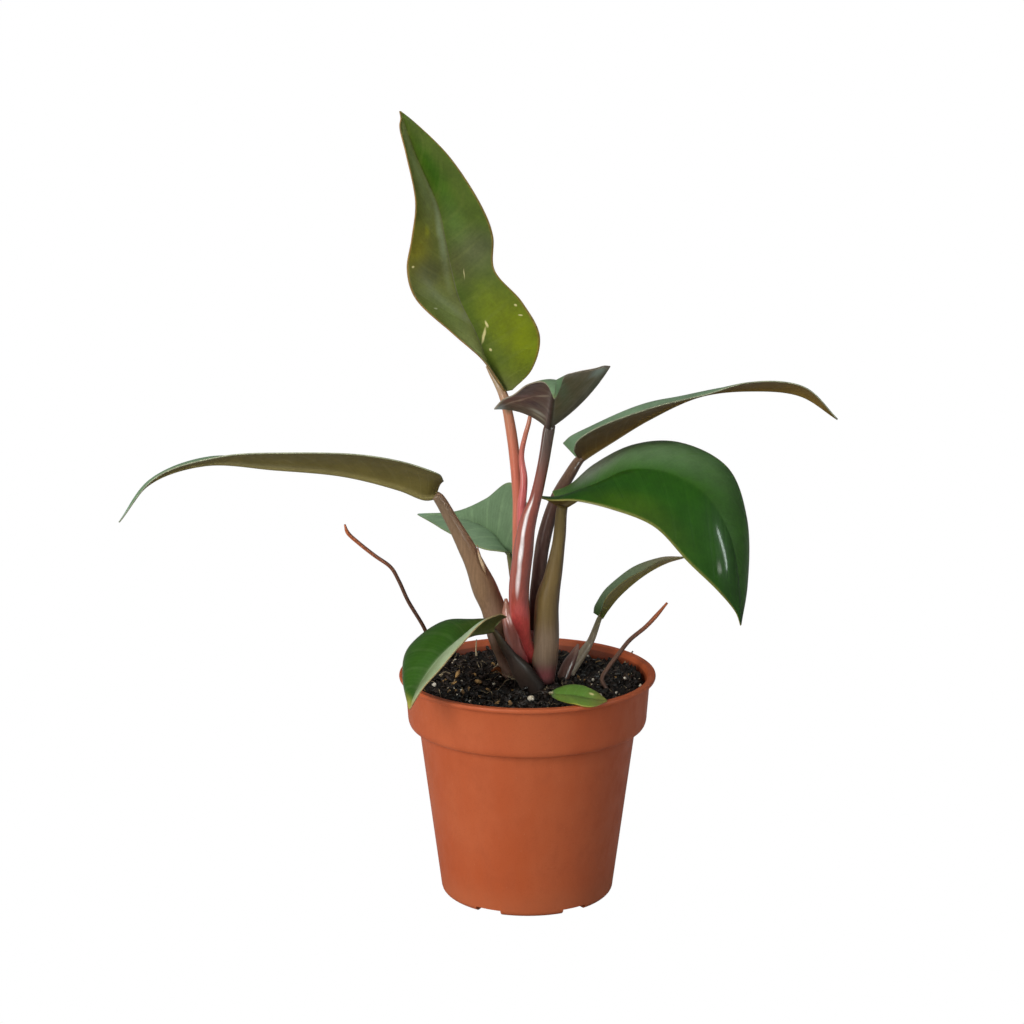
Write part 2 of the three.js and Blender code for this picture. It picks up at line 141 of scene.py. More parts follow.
def blended(tree: Tree, share: Any, first: Any, second: Any, mode: str = "MIX") -> Any:
    """Blend two colours by a share and return the socket."""
    inputs = {0: share, 6: first, 7: second}
    return add_node(tree, "ShaderNodeMix", inputs, data_type="RGBA", blend_type=mode).outputs[2]


def grain(tree: Tree, place: Any, size_mm: float, detail: float = 2.0, stretch: Point = (1, 1, 1)) -> Any:
    """Add noise with lumps of a real size.

    Args:
        tree: The node tree.
        place: Socket with the place in metres.
        size_mm: How wide a lump is.
        detail: How many finer layers the noise has.
        stretch: Scale along each axis, above 1 for finer.

    Returns:
        The socket with the noise, from 0 to 1.
    """
    scaled = add_node(tree, "ShaderNodeVectorMath", {0: place, 1: stretch}, operation="MULTIPLY")
    inputs = {"Vector": scaled.outputs[0], "Scale": 1 / (size_mm * MM), "Detail": detail, "Roughness": 0.6}
    return add_node(tree, "ShaderNodeTexNoise", inputs).outputs[0]


def bumped(tree: Tree, height: Any, depth_mm: float, under: Any = None) -> Any:
    """Turn a height into relief of a real depth.

    Args:
        tree: The node tree.
        height: Socket with the height, from 0 to 1.
        depth_mm: How deep the relief is.
        under: Socket with other relief that this one lies on, if any.

    Returns:
        The socket with the normal.
    """
    inputs = {"Height": height, "Strength": 1.0, "Distance": depth_mm * MM}
    if under is not None:
        inputs["Normal"] = under
    return add_node(tree, "ShaderNodeBump", inputs).outputs[0]


@dataclass(frozen=True)
class Spline:
    """A smooth curve through points: a centripetal Catmull-Rom spline."""

    points: tuple[Point, ...]

    def at(self, t: float) -> np.ndarray:
        """Find the point of the curve at t.

        Args:
            t: Place along the curve, from 0 to 1, with every given point an equal step apart.

        Returns:
            The point.
        """
        known = [np.array(p, float) for p in self.points]
        place = min(max(t, 0.0), 1.0) * (len(known) - 1)
        first = min(int(place), len(known) - 2)
        share = place - first
        b, c = known[first], known[first + 1]
        a = known[first - 1] if first > 0 else 2 * b - c
        d = known[first + 2] if first + 2 < len(known) else 2 * c - b
        # Centripetal steps, the square roots of the distances, keep the curve free of loops.
        gaps = [max(np.dot(q - p, q - p) ** 0.25, 1e-4) for p, q in ((a, b), (b, c), (c, d))]
        leave = (b - a) / gaps[0] - (c - a) / (gaps[0] + gaps[1]) + (c - b) / gaps[1]
        reach = (c - b) / gaps[1] - (d - b) / (gaps[1] + gaps[2]) + (d - c) / gaps[2]
        leave, reach = leave * gaps[1], reach * gaps[1]
        square, cube = share * share, share**3
        bend = (3 * (c - b) - 2 * leave - reach) * square
        return b + leave * share + bend + (2 * (b - c) + leave + reach) * cube

    def tangent(self, t: float) -> np.ndarray:
        """Find the direction of the curve at t.

        Args:
            t: Place along the curve, from 0 to 1.

        Returns:
            The direction, with a length of 1.
        """
        step = 1e-3
        way = self.at(min(t + step, 1.0)) - self.at(max(t - step, 0.0))
        return way / np.linalg.norm(way)

    def even(self, count: int, samples: int = 40) -> list[float]:
        """Spread places evenly by length along the curve.

        Args:
            count: How many places.
            samples: In how many steps the curve is measured for each of its points.

        Returns:
            The value of t at each place.
        """
        fine = np.linspace(0, 1, samples * len(self.points))
        spots = np.array([self.at(t) for t in fine])
        run = np.concatenate([[0], np.cumsum(np.linalg.norm(np.diff(spots, axis=0), axis=1))])
        return list(np.interp(np.linspace(0, run[-1], count), run, fine))

    def length(self, samples: int = 20) -> float:
        """Return the curve's length, measured in that many steps for each of its points."""
        spots = np.array([self.at(t) for t in np.linspace(0, 1, samples * len(self.points))])
        return float(np.linalg.norm(np.diff(spots, axis=0), axis=1).sum())


def unit(rows: np.ndarray) -> np.ndarray:
    """Scale each row to a length of 1."""
    return rows / np.maximum(np.linalg.norm(rows, axis=-1, keepdims=True), 1e-9)


def grid_mesh(name: str, across: int, along: int, place: Callable[[np.ndarray], np.ndarray]) -> Piece:
    """Add a flat grid and move its points onto a surface.

    Args:
        name: The piece's name.
        across: How many cells wide the grid is.
        along: How many cells long it is.
        place: Gives each point's place in millimetres from its place on the grid, -1 to 1.

    Returns:
        The new piece, with a UV map that follows the grid.
    """
    bpy.ops.mesh.primitive_grid_add(x_subdivisions=across, y_subdivisions=along, size=2, calc_uvs=True)
    piece = bpy.context.object
    piece.name = name
    piece.data.name = name
    flat = np.empty(len(piece.data.vertices) * 3)
    piece.data.vertices.foreach_get("co", flat)
    piece.data.vertices.foreach_set("co", (place(flat.reshape(-1, 3)[:, :2]) * MM).ravel())
    piece.data.update()
    return piece


def apply_modifier(piece: Piece, kind: str, **settings: Any) -> None:
    """Add a modifier to a piece and apply it.

    Args:
        piece: The piece.
        kind: The modifier's type name.
        settings: The modifier's own properties.
    """
    bpy.context.view_layer.objects.active = piece
    modifier = piece.modifiers.new(kind.lower(), kind)
    for name, value in settings.items():
        setattr(modifier, name, value)
    bpy.ops.object.modifier_apply(modifier=modifier.name)


def close_up(piece: Piece, reach_mm: float = 0.01) -> None:
    """Join a mesh's doubled points, fill its open ends and turn its faces outwards.

    Args:
        piece: The piece.
        reach_mm: How close two points are to be one.
    """
    mesh = bmesh.new()
    mesh.from_mesh(piece.data)
    bmesh.ops.remove_doubles(mesh, verts=mesh.verts, dist=reach_mm * MM)
    bmesh.ops.holes_fill(mesh, edges=[edge for edge in mesh.edges if edge.is_boundary], sides=0)
    bmesh.ops.recalc_face_normals(mesh, faces=mesh.faces)
    mesh.to_mesh(piece.data)
    mesh.free()


def finish_piece(piece: Piece, materials: Sequence[Material], slot: str, *nodes: str) -> None:
    """Give a piece its materials, smooth shading and place in the model, and report it.

    Args:
        piece: The piece.
        materials: Its materials, of which it may already have the first ones.
        slot: The material slot of the part that it belongs to; not used.
        nodes: The CAD nodes that it stands for.
    """
    for material in materials[len(piece.data.materials) :]:
        piece.data.materials.append(material)
    piece.data.shade_smooth()
    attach(piece, BODY)
    if nodes:
        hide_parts(*nodes)
    LOG.info("%s: %d faces", piece.name, len(piece.data.polygons))


@dataclass(frozen=True)
class Patch:
    """A soft-edged area of another colour on a leaf or a stalk.

    across runs from -1 at the left margin to 1 at the right, and along from 0 at the foot to 1 at
    the tip. wide and long are the distances at which the colour is gone. slant is how far the
    patch drops towards the foot for each step across.
    """

    across: float
    along: float
    wide: float
    long: float
    colour: str
    strength: float = 0.8
    edge: float = 1.0
    slant: float = 0.0

    def paint(self, tree: Tree, place: Any, colour: Any) -> Any:
        """Lay the patch over a colour.

        Args:
            tree: The material's node tree.
            place: Socket with the place across and along the piece.
            colour: Socket with the colour underneath.

        Returns:
            The socket with the new colour.
        """
        if self.slant:
            parts = add_node(tree, "ShaderNodeSeparateXYZ", {0: place})
            level = maths(tree, "MULTIPLY_ADD", parts.outputs[0], self.slant)
            tree.links.new(parts.outputs[1], level.node.inputs[2])
            place = add_node(tree, "ShaderNodeCombineXYZ", {0: parts.outputs[0], 1: level}).outputs[0]
        scale = (1 / self.wide, 1 / self.long, 0)
        shift = (-self.across / self.wide, -(self.along + self.slant * self.across) / self.long, 0)
        inputs = {0: place, 1: scale, 2: shift}
        moved = add_node(tree, "ShaderNodeVectorMath", inputs, operation="MULTIPLY_ADD").outputs[0]
        away = add_node(tree, "ShaderNodeVectorMath", {0: moved}, operation="LENGTH").outputs[1]
        share = mapped(tree, away, 1 - self.edge, 1, self.strength, 0)
        return blended(tree, share, colour, linear(self.colour))


@dataclass(frozen=True)
class LeafFinish:
    """One face of a living leaf: a waxy skin over green tissue, with veins that show through.

    The wax gives the eye a satin or glossy coat, and the tissue uneven, mottled colour. wander is
    how far slow waves in the tissue push its colours across. vein_sweep is how far the side veins
    run forward to the margin, and fine_veins how many finer ones there are for each.
    """

    name: str
    left: str
    right: str
    base: str
    tip: str
    midrib: str
    vein: str
    margin: str
    vein_count: float = 16
    vein_strength: float = 0.25
    midrib_width: float = 0.05
    mottle: float = 0.14
    roughness: float = 0.38
    coat: float = 0.2
    coat_roughness: float = 0.25
    relief_mm: float = 0.05
    base_reach: float = 0.16
    tip_reach: float = 0.08
    patches: tuple[Patch, ...] = ()
    lump_mm: float = 9
    speckle_mm: float = 1.1
    wander: float = 0.16
    vein_sweep: float = 0.11
    fine_veins: float = 5.3

    def material(self) -> Material:
        """Build the leaf's material from its UV map, across and along the blade.

        Returns:
            The material.
        """
        material, tree = new_material(self.name)
        place = add_node(tree, "ShaderNodeTexCoord").outputs["Object"]
        uv = add_node(tree, "ShaderNodeSeparateXYZ", {0: add_node(tree, "ShaderNodeUVMap").outputs[0]})
        along = uv.outputs[1]
        across = maths(tree, "MULTIPLY_ADD", uv.outputs[0], 2.0)
        across.node.inputs[2].default_value = -1.0
        out = maths(tree, "ABSOLUTE", across)

        # Slow waves in the place keep the patches from looking like neat ovals.
        lumps = grain(tree, place, self.lump_mm)
        wander = maths(tree, "MULTIPLY_ADD", lumps, self.wander)
        wander.node.inputs[2].default_value = -self.wander / 2
        pushed = maths(tree, "ADD", across, wander)
        spot = add_node(tree, "ShaderNodeCombineXYZ", {0: pushed, 1: along}).outputs[0]

        colour = blended(tree, mapped(tree, across, -0.1, 0.1, 0, 1), linear(self.left), linear(self.right))
        colour = blended(tree, mapped(tree, along, 0, self.base_reach, 1, 0), colour, linear(self.base))
        colour = blended(tree, mapped(tree, along, 1 - self.tip_reach, 1, 0, 1), colour, linear(self.tip))
        for patch in self.patches:
            colour = patch.paint(tree, spot, colour)

        # The side veins sweep forward towards the margin, with finer ones between them.
        sweep = maths(tree, "MULTIPLY", maths(tree, "POWER", out, 1.4), -self.vein_sweep)
        wave = maths(tree, "ADD", along, maths(tree, "ADD", sweep, maths(tree, "MULTIPLY", wander, 0.05)))
        turns = math.tau * self.vein_count
        main = maths(tree, "SINE", maths(tree, "MULTIPLY", wave, turns))
        fine = maths(tree, "SINE", maths(tree, "MULTIPLY", wave, turns * self.fine_veins))
        main_line = mapped(tree, main, 0.75, 1.0, 0, 1)
        fine_line = mapped(tree, fine, 0.2, 1.0, 0, 0.4)
        lines = maths(tree, "MAXIMUM", main_line, fine_line)
        fade = mapped(tree, out, 0.55, 1.0, 1, 0.25)
        vein_share = maths(tree, "MULTIPLY", maths(tree, "MULTIPLY", lines, fade), self.vein_strength)
        colour = blended(tree, vein_share, colour, linear(self.vein))
        rib = mapped(tree, out, self.midrib_width * 0.3, self.midrib_width, 0.85, 0)
        colour = blended(tree, rib, colour, linear(self.midrib))
        colour = blended(tree, mapped(tree, out, 0.95, 1.0, 0, 0.7), colour, linear(self.margin))

        speckle = grain(tree, place, self.speckle_mm, 3)
        tone = maths(tree, "ADD", maths(tree, "MULTIPLY", lumps, 1.2), maths(tree, "MULTIPLY", speckle, 0.8))
        value = mapped(tree, tone, 0.6, 1.4, 1 - self.mottle, 1 + self.mottle)
        colour = add_node(tree, "ShaderNodeHueSaturation", {"Value": value, "Color": colour}).outputs[0]

        main_dent = maths(tree, "MULTIPLY", main_line, -0.7)
        height = maths(tree, "ADD", main_dent, maths(tree, "MULTIPLY", fine_line, -0.5))
        relief = bumped(tree, height, self.relief_mm)
        relief = bumped(tree, speckle, 0.6 * self.relief_mm, relief)
        rough = mapped(tree, grain(tree, place, 4), 0.3, 0.7, self.roughness - 0.06, self.roughness + 0.08)
        surface(
            tree,
            {
                "Base Color": colour,
                "Roughness": rough,
                "IOR": 1.42,
                "Specular IOR Level": 0.18,
                "Coat Weight": self.coat,
                "Coat Roughness": self.coat_roughness,
                "Normal": relief,
            },
        )
        return material


@dataclass(frozen=True)
class StalkFinish:
    """The skin of a leaf stalk, sheath, root or rolled leaf: smooth, waxy, with upright streaks.

    painted_shade is painted shade on the side away from the light, and edge a painted lit colour on the
    other side.
    """

    name: str
    foot: str
    middle: str
    top: str
    # Painted shade, then a painted lit colour.
    painted_shade: str
    edge: str
    streak: float = 0.14
    roughness: float = 0.34
    coat: float = 0.35
    coat_roughness: float = 0.12
    relief_mm: float = 0.05
    patches: tuple[Patch, ...] = ()
    fibre_mm: float = 0.8
    fibre_stretch: Point = (1, 1, 0.06)
    speck_mm: float = 0.7

    def material(self) -> Material:
        """Build the stalk's material from its UV map, round and along the stalk.

        Returns:
            The material.
        """
        material, tree = new_material(self.name)
        place = add_node(tree, "ShaderNodeTexCoord").outputs["Object"]
        uv = add_node(tree, "ShaderNodeSeparateXYZ", {0: add_node(tree, "ShaderNodeUVMap").outputs[0]})
        along = uv.outputs[1]
        across = maths(tree, "MULTIPLY_ADD", uv.outputs[0], -4.0)
        across.node.inputs[2].default_value = 2.0
        spot = add_node(tree, "ShaderNodeCombineXYZ", {0: across, 1: along}).outputs[0]

        colour = blended(tree, mapped(tree, along, 0.0, 0.45, 0, 1), linear(self.foot), linear(self.middle))
        colour = blended(tree, mapped(tree, along, 0.6, 1.0, 0, 1), colour, linear(self.top))
        # Painted shade darkens the side away from the window, and a painted lit colour lightens the side
        # towards it.
        colour = blended(tree, mapped(tree, across, 0.1, 1.0, 0, 0.75), colour, linear(self.painted_shade))
        colour = blended(tree, mapped(tree, across, -0.95, -0.4, 0.5, 0), colour, linear(self.edge))
        for patch in self.patches:
            colour = patch.paint(tree, spot, colour)

        # Fibres in the skin draw thin lighter and darker streaks up the stalk.
        fibres = grain(tree, place, self.fibre_mm, 3, self.fibre_stretch)
        specks = grain(tree, place, self.speck_mm, 2)
        tone = maths(tree, "ADD", maths(tree, "MULTIPLY", fibres, 1.6), maths(tree, "MULTIPLY", specks, 0.4))
        value = mapped(tree, tone, 0.6, 1.4, 1 - self.streak, 1 + self.streak)
        colour = add_node(tree, "ShaderNodeHueSaturation", {"Value": value, "Color": colour}).outputs[0]
        surface(
            tree,
            {
                "Base Color": colour,
                "Roughness": mapped(tree, specks, 0.3, 0.7, self.roughness - 0.05, self.roughness + 0.1),
                "IOR": 1.42,
                "Coat Weight": self.coat,
                "Coat Roughness": self.coat_roughness,
                "Specular IOR Level": 0.3,
                "Normal": bumped(tree, fibres, self.relief_mm),
            },
        )
        return material


@dataclass(frozen=True)
class NurseryPlastic:
    """Injection-moulded polypropylene, matte, with mould marks, fine grit and a film of dust."""

    base: str = "b5552c"
    deep: str = "a04a26"
    pale: str = "bb5e36"
    dust: str = "c07a54"
    # Painted shade on the inside of the collar.
    painted_collar_shade: str = "74341c"
    roughness: float = 0.48
    cloud_mm: float = 26
    wear_mm: float = 7
    grit_mm: float = 0.55
    speck_gap_mm: float = 3.4
    dust_reach: Span = (2, 16)
    painted_collar_shade_radius: Span = (48.75, 48.95)
    painted_collar_shade_height: Span = (76, 78)

    def material(self) -> Material:
        """Build the pot's material.

        Returns:
            The material.
        """
        material, tree = new_material("terracotta_polypropylene")
        place = add_node(tree, "ShaderNodeTexCoord").outputs["Object"]
        height = add_node(tree, "ShaderNodeSeparateXYZ", {0: place}).outputs[2]
        level = add_node(tree, "ShaderNodeVectorMath", {0: place, 1: (1, 1, 0)}, operation="MULTIPLY")
        radius = add_node(tree, "ShaderNodeVectorMath", {0: level.outputs[0]}, operation="LENGTH").outputs[1]
        cloud = grain(tree, place, self.cloud_mm, 3, (1, 1, 0.5))
        colour = blended(tree, mapped(tree, cloud, 0.35, 0.7, 0, 1), linear(self.base), linear(self.pale))
        worn = grain(tree, place, self.wear_mm, 4, (1, 1, 0.6))
        colour = blended(tree, mapped(tree, worn, 0.45, 0.75, 0, 0.25), colour, linear(self.deep))
        grit = grain(tree, place, self.grit_mm, 2)
        colour = blended(tree, mapped(tree, grit, 0.5, 0.8, 0, 0.4), colour, linear(self.deep))
        # Dust clings in loose specks, and thinly above the foot.
        inputs = {"Vector": place, "Scale": 1 / (self.speck_gap_mm * MM)}
        cells = add_node(tree, "ShaderNodeTexVoronoi", inputs)
        specks = mapped(tree, cells.outputs[0], 0.03, 0.08, 0.5, 0)
        film = mapped(tree, height, self.dust_reach[0] * MM, self.dust_reach[1] * MM, 0.22, 0)
        colour = blended(tree, maths(tree, "MAXIMUM", specks, film), colour, linear(self.dust))
        # Painted shade: the inside wall of the collar, from just above its foot up to the lip, is painted
        # darker.
        inside = mapped(tree, radius, self.painted_collar_shade_radius[0] * MM, self.painted_collar_shade_radius[1] * MM, 0.7, 0)
        high = mapped(tree, height, self.painted_collar_shade_height[0] * MM, self.painted_collar_shade_height[1] * MM, 0, 1)
        colour = blended(tree, maths(tree, "MULTIPLY", inside, high), colour, linear(self.painted_collar_shade))
        relief = bumped(tree, grit, 0.04, bumped(tree, worn, 0.05))
        rough = mapped(tree, worn, 0.3, 0.7, self.roughness - 0.06, self.roughness + 0.1)
        look = {"Base Color": colour, "Roughness": rough, "IOR": 1.49, "Specular IOR Level": 0.3}
        surface(tree, {**look, "Normal": relief})
        return material


@dataclass(frozen=True)
class LooseFinish:
    """Loose matter on the soil, such as peat, perlite or bark: a rough, dull, uneven surface."""

    name: str
    base: str
    other: str
    size_mm: float
    roughness: float = 0.85
    relief_mm: float = 0.3

    def material(self) -> Material:
        """Build the matter's material, with each lump in its own mix of the two colours.

        Returns:
            The material.
        """
        material, tree = new_material(self.name)
        place = add_node(tree, "ShaderNodeTexCoord").outputs["Object"]
        lumps = grain(tree, place, self.size_mm, 3)
        fine = grain(tree, place, self.size_mm / 5, 3)
        colour = blended(tree, mapped(tree, lumps, 0.35, 0.7, 0, 1), linear(self.base), linear(self.other))
        value = mapped(tree, fine, 0.25, 0.75, 0.65, 1.35)
        colour = add_node(tree, "ShaderNodeHueSaturation", {"Value": value, "Color": colour}).outputs[0]
        rough = mapped(tree, lumps, 0.3, 0.7, self.roughness - 0.2, self.roughness + 0.1)
        relief = bumped(tree, fine, self.relief_mm)
        surface(tree, {"Base Color": colour, "Roughness": rough, "IOR": 1.45, "Normal": relief})
        return material


class Half(Enum):
    """The two halves of a blade, as seen from above with its tip pointing away."""

    LEFT = -1
    RIGHT = 1


@dataclass
class Blade:
    """A leaf blade, from the top of its stalk to its tip.

    Each station is a point of the midrib, then the points of the left and right edge that the
    veins from there run to. The last station is the tip alone. arch says how far each half bulges
    upwards, in half widths, at the stalk and at the tip. The keel is the midrib's own rise on the
    underside and the groove its dip above. The margin ripples gently, and fully where a half is
    at least ripple_width wide. crowding draws the grid's columns towards the midrib.
    """

    name: str
    slot: str
    stations: tuple[tuple[Point, ...], ...]
    arch: dict[Half, Span]
    upper: LeafFinish
    lower: LeafFinish
    thickness: float = 0.5
    tip_half_width: float = 0.3
    tip_share: float = 0.96
    keel: float = 0.9
    keel_width: float = 1.1
    keel_fade: float = 0.7
    groove: float = 0.15
    ripple: float = 0.12
    ripples: float = 4
    ripple_phase: float = 1.3
    ripple_width: float = 12
    crowding: float = 1.25
    columns: int = 56
    row_step: float = 0.9
    fewest_rows: int = 30

    @property
    def midrib(self) -> Spline:
        """Return the curve of the midrib."""
        return Spline(tuple(station[0] for station in self.stations))

    def edge(self, number: int) -> Spline:
        """Return the curve of an edge, which is point 1 or 2 of each station and ends at the tip."""
        points = (station[number] if len(station) > 1 else station[0] for station in self.stations)
        return Spline(tuple(points))

    def rows_at(self, t: np.ndarray) -> dict[str, np.ndarray]:
        """Find the midrib, the edges and the outward directions at each place along the blade.

        Args:
            t: Places along the blade, from 0 to 1.

        Returns:
            The midrib's points and directions, and each half's reach and outward direction.
        """
        rib = self.midrib
        ends = {Half.LEFT: self.edge(1), Half.RIGHT: self.edge(2)}
        centre = np.array([rib.at(x) for x in t])
        forward = np.array([rib.tangent(x) for x in t])
        found = {"centre": centre, "forward": forward}
        near = np.minimum(t, self.tip_share)
        for half, end in ends.items():
            found[f"reach {half.name}"] = np.array([end.at(x) for x in t]) - centre
            found[f"outward {half.name}"] = unit(np.array([end.at(x) - rib.at(x) for x in near]))
        return found

    def surface(self, spots: np.ndarray) -> np.ndarray:
        """Place grid points on the blade's middle surface.

        Args:
            spots: Places across and along the blade, each from -1 to 1.

        Returns:
            The points in millimetres.
        """
        levels, row = np.unique(np.round(spots[:, 1], 6), return_inverse=True)
        t = (levels + 1) / 2
        found = self.rows_at(t)
        points = np.empty((len(spots), 3))
        for half in Half:
            mine = spots[:, 0] <= 0 if half is Half.LEFT else spots[:, 0] > 0
            share = (np.abs(spots[mine, 0]) ** self.crowding)[:, None]
            here = row[mine]
            reach = found[f"reach {half.name}"][here]
            outward = found[f"outward {half.name}"][here]
            up = unit(np.cross(found["forward"][here], outward)) * -half.value
            size = np.linalg.norm(reach, axis=1, keepdims=True)
            start, end = self.arch[half]
            when = t[here][:, None]
            rise = (start + (end - start) * when) * size
            wave = np.sin(when * math.tau * self.ripples + self.ripple_phase * half.value) * share**2
            swell = self.ripple * wave * np.minimum(size / self.ripple_width, 1)
            dip = -self.groove * np.exp(-((share * size / self.keel_width) ** 2)) * (1 - when)
            points[mine] = (
                found["centre"][here]
                + reach * share
                + outward * share * self.tip_half_width
                + up * (4 * share * (1 - share) * rise + swell + dip)
            )
        return points

    def build(self) -> Piece:
        """Build the blade with its thickness and the midrib's keel under it.

        Returns:
            The finished piece.
        """
        rows = max(self.fewest_rows, int(self.midrib.length() / self.row_step))
        piece = grid_mesh(f"leaf_{self.name}", self.columns, rows, self.surface)
        count = len(piece.data.vertices)
        spots = self.grid_spots(piece)
        materials = [self.upper.material(), self.lower.material(), margin_material(self.upper.margin)]
        for material in materials:
            piece.data.materials.append(material)
        apply_modifier(
            piece, "SOLIDIFY", thickness=self.thickness * MM, offset=0, use_even_offset=False,
            material_offset=1, material_offset_rim=2,
        )
        self.raise_keel(piece, count, spots)
        finish_piece(piece, materials, self.slot, f"blade_{self.name}")
        return piece

    def grid_spots(self, piece: Piece) -> np.ndarray:
        """Read each point's place on the blade from its UV map.

        Args:
            piece: The blade.

        Returns:
            The places across and along, from 0 to 1.
        """
        mesh = piece.data
        corner = np.empty(len(mesh.loops), int)
        mesh.loops.foreach_get("vertex_index", corner)
        uv = np.empty(len(mesh.loops) * 2)
        mesh.uv_layers[0].data.foreach_get("uv", uv)
        spots = np.empty((len(mesh.vertices), 2))
        spots[corner] = uv.reshape(-1, 2)
        return spots

    def raise_keel(self, piece: Piece, count: int, spots: np.ndarray) -> None:
        """Push the underside out along the midrib.

        Args:
            piece: The blade, with its thickness.
            count: How many points the blade had before its thickness: those of its upper face.
            spots: The place across and along the blade of each of those points.
        """
        mesh = piece.data
        flat = np.empty(len(mesh.vertices) * 3)
        mesh.vertices.foreach_get("co", flat)
        places = flat.reshape(-1, 3)
        upper, lower = places[:count], places[count : 2 * count]
        down = unit(lower - upper)
        rib = self.midrib
        levels, row = np.unique(np.round(spots[:, 1], 6), return_inverse=True)
        centres = np.array([rib.at(t) for t in levels])[row] * MM
        width = np.linalg.norm(upper - centres, axis=1) / MM
        fade = np.clip(1 - spots[:, 1], 0, 1) ** self.keel_fade
        depth = self.keel * fade * np.exp(-((width / self.keel_width) ** 2))
        places[count : 2 * count] += down * (depth * MM)[:, None]
        mesh.vertices.foreach_set("co", places.ravel())
        mesh.update()


def margin_material(code: str) -> Material:
    """Make the material of a leaf's thin, dry, matte rim, once for each colour.

    Args:
        code: The rim's colour as six hex digits.

    Returns:
        The material.
    """
    name = f"leaf_rim_{code}"
    if name in bpy.data.materials:
        return bpy.data.materials[name]
    material, tree = new_material(name)
    place = add_node(tree, "ShaderNodeTexCoord").outputs["Object"]
    value = mapped(tree, grain(tree, place, 2.5), 0.3, 0.7, 0.75, 1.2)
    colour = add_node(tree, "ShaderNodeHueSaturation", {"Value": value, "Color": linear(code)}).outputs[0]
    surface(tree, {"Base Color": colour, "Roughness": 0.5})
    return material


@dataclass
class Stalk:
    """A round stalk, sheath or root along a smooth path, a little uneven as what grows is.

    A stalk with no node is a scrap of sheath that only the looks have.
    """

    name: str
    node: str
    slot: str
    path: tuple[Point, ...]
    radii: tuple[float, ...]
    finish: StalkFinish
    sides: int = 28
    step: float = 1.2
    fewest_rows: int = 8
    knots: float = 0.04
    knot_scale: float = 0.11
    knot_shift: Point = (7.1, 3.3, 1.9)

    def radius(self, t: float) -> float:
        """Find the radius at a place, eased between the given radii so that no kink shows.

        Args:
            t: Place along the stalk, from 0 to 1.

        Returns:
            The radius.
        """
        place = t * (len(self.radii) - 1)
        first = min(int(place), len(self.radii) - 2)
        share = place - first
        eased = share * share * (3 - 2 * share)
        blend = 0.5 * (share + eased)
        return self.radii[first] + (self.radii[first + 1] - self.radii[first]) * blend

    def surface(self, spots: np.ndarray) -> np.ndarray:
        """Wrap grid points round the path.

        Args:
            spots: Places round and along the stalk, each from -1 to 1. Round, 0 faces the front.

        Returns:
            The points in millimetres.
        """
        curve = Spline(self.path)
        levels, row = np.unique(np.round(spots[:, 1], 6), return_inverse=True)
        places = curve.even(len(levels))
        centre = np.array([curve.at(t) for t in places])
        ahead = np.array([curve.tangent(t) for t in places])
        front = unit(np.array([0.0, -1.0, 0.0]) - ahead * (-ahead[:, 1:2]))
        right = np.cross(ahead, front)
        radius = np.array([self.radius(t) for t in places])
        shift = Vector(self.knot_shift)
        bumps = np.array([noise.noise(Vector(c) * self.knot_scale + shift) for c in centre])
        radius = radius * (1 + self.knots * bumps)
        angle = spots[:, 0] * math.pi
        reach = radius[row]
        side = -np.sin(angle) * reach
        facing = np.cos(angle) * reach
        return centre[row] + front[row] * facing[:, None] + right[row] * side[:, None]

    def build(self) -> Piece:
        """Build the stalk with closed ends.

        Returns:
            The finished piece.
        """
        rows = max(self.fewest_rows, int(Spline(self.path).length() / self.step))
        piece = grid_mesh(self.name, self.sides, rows, self.surface)
        close_up(piece)
        finish_piece(piece, [self.finish.material()], self.slot, *filter(None, [self.node]))
        return piece


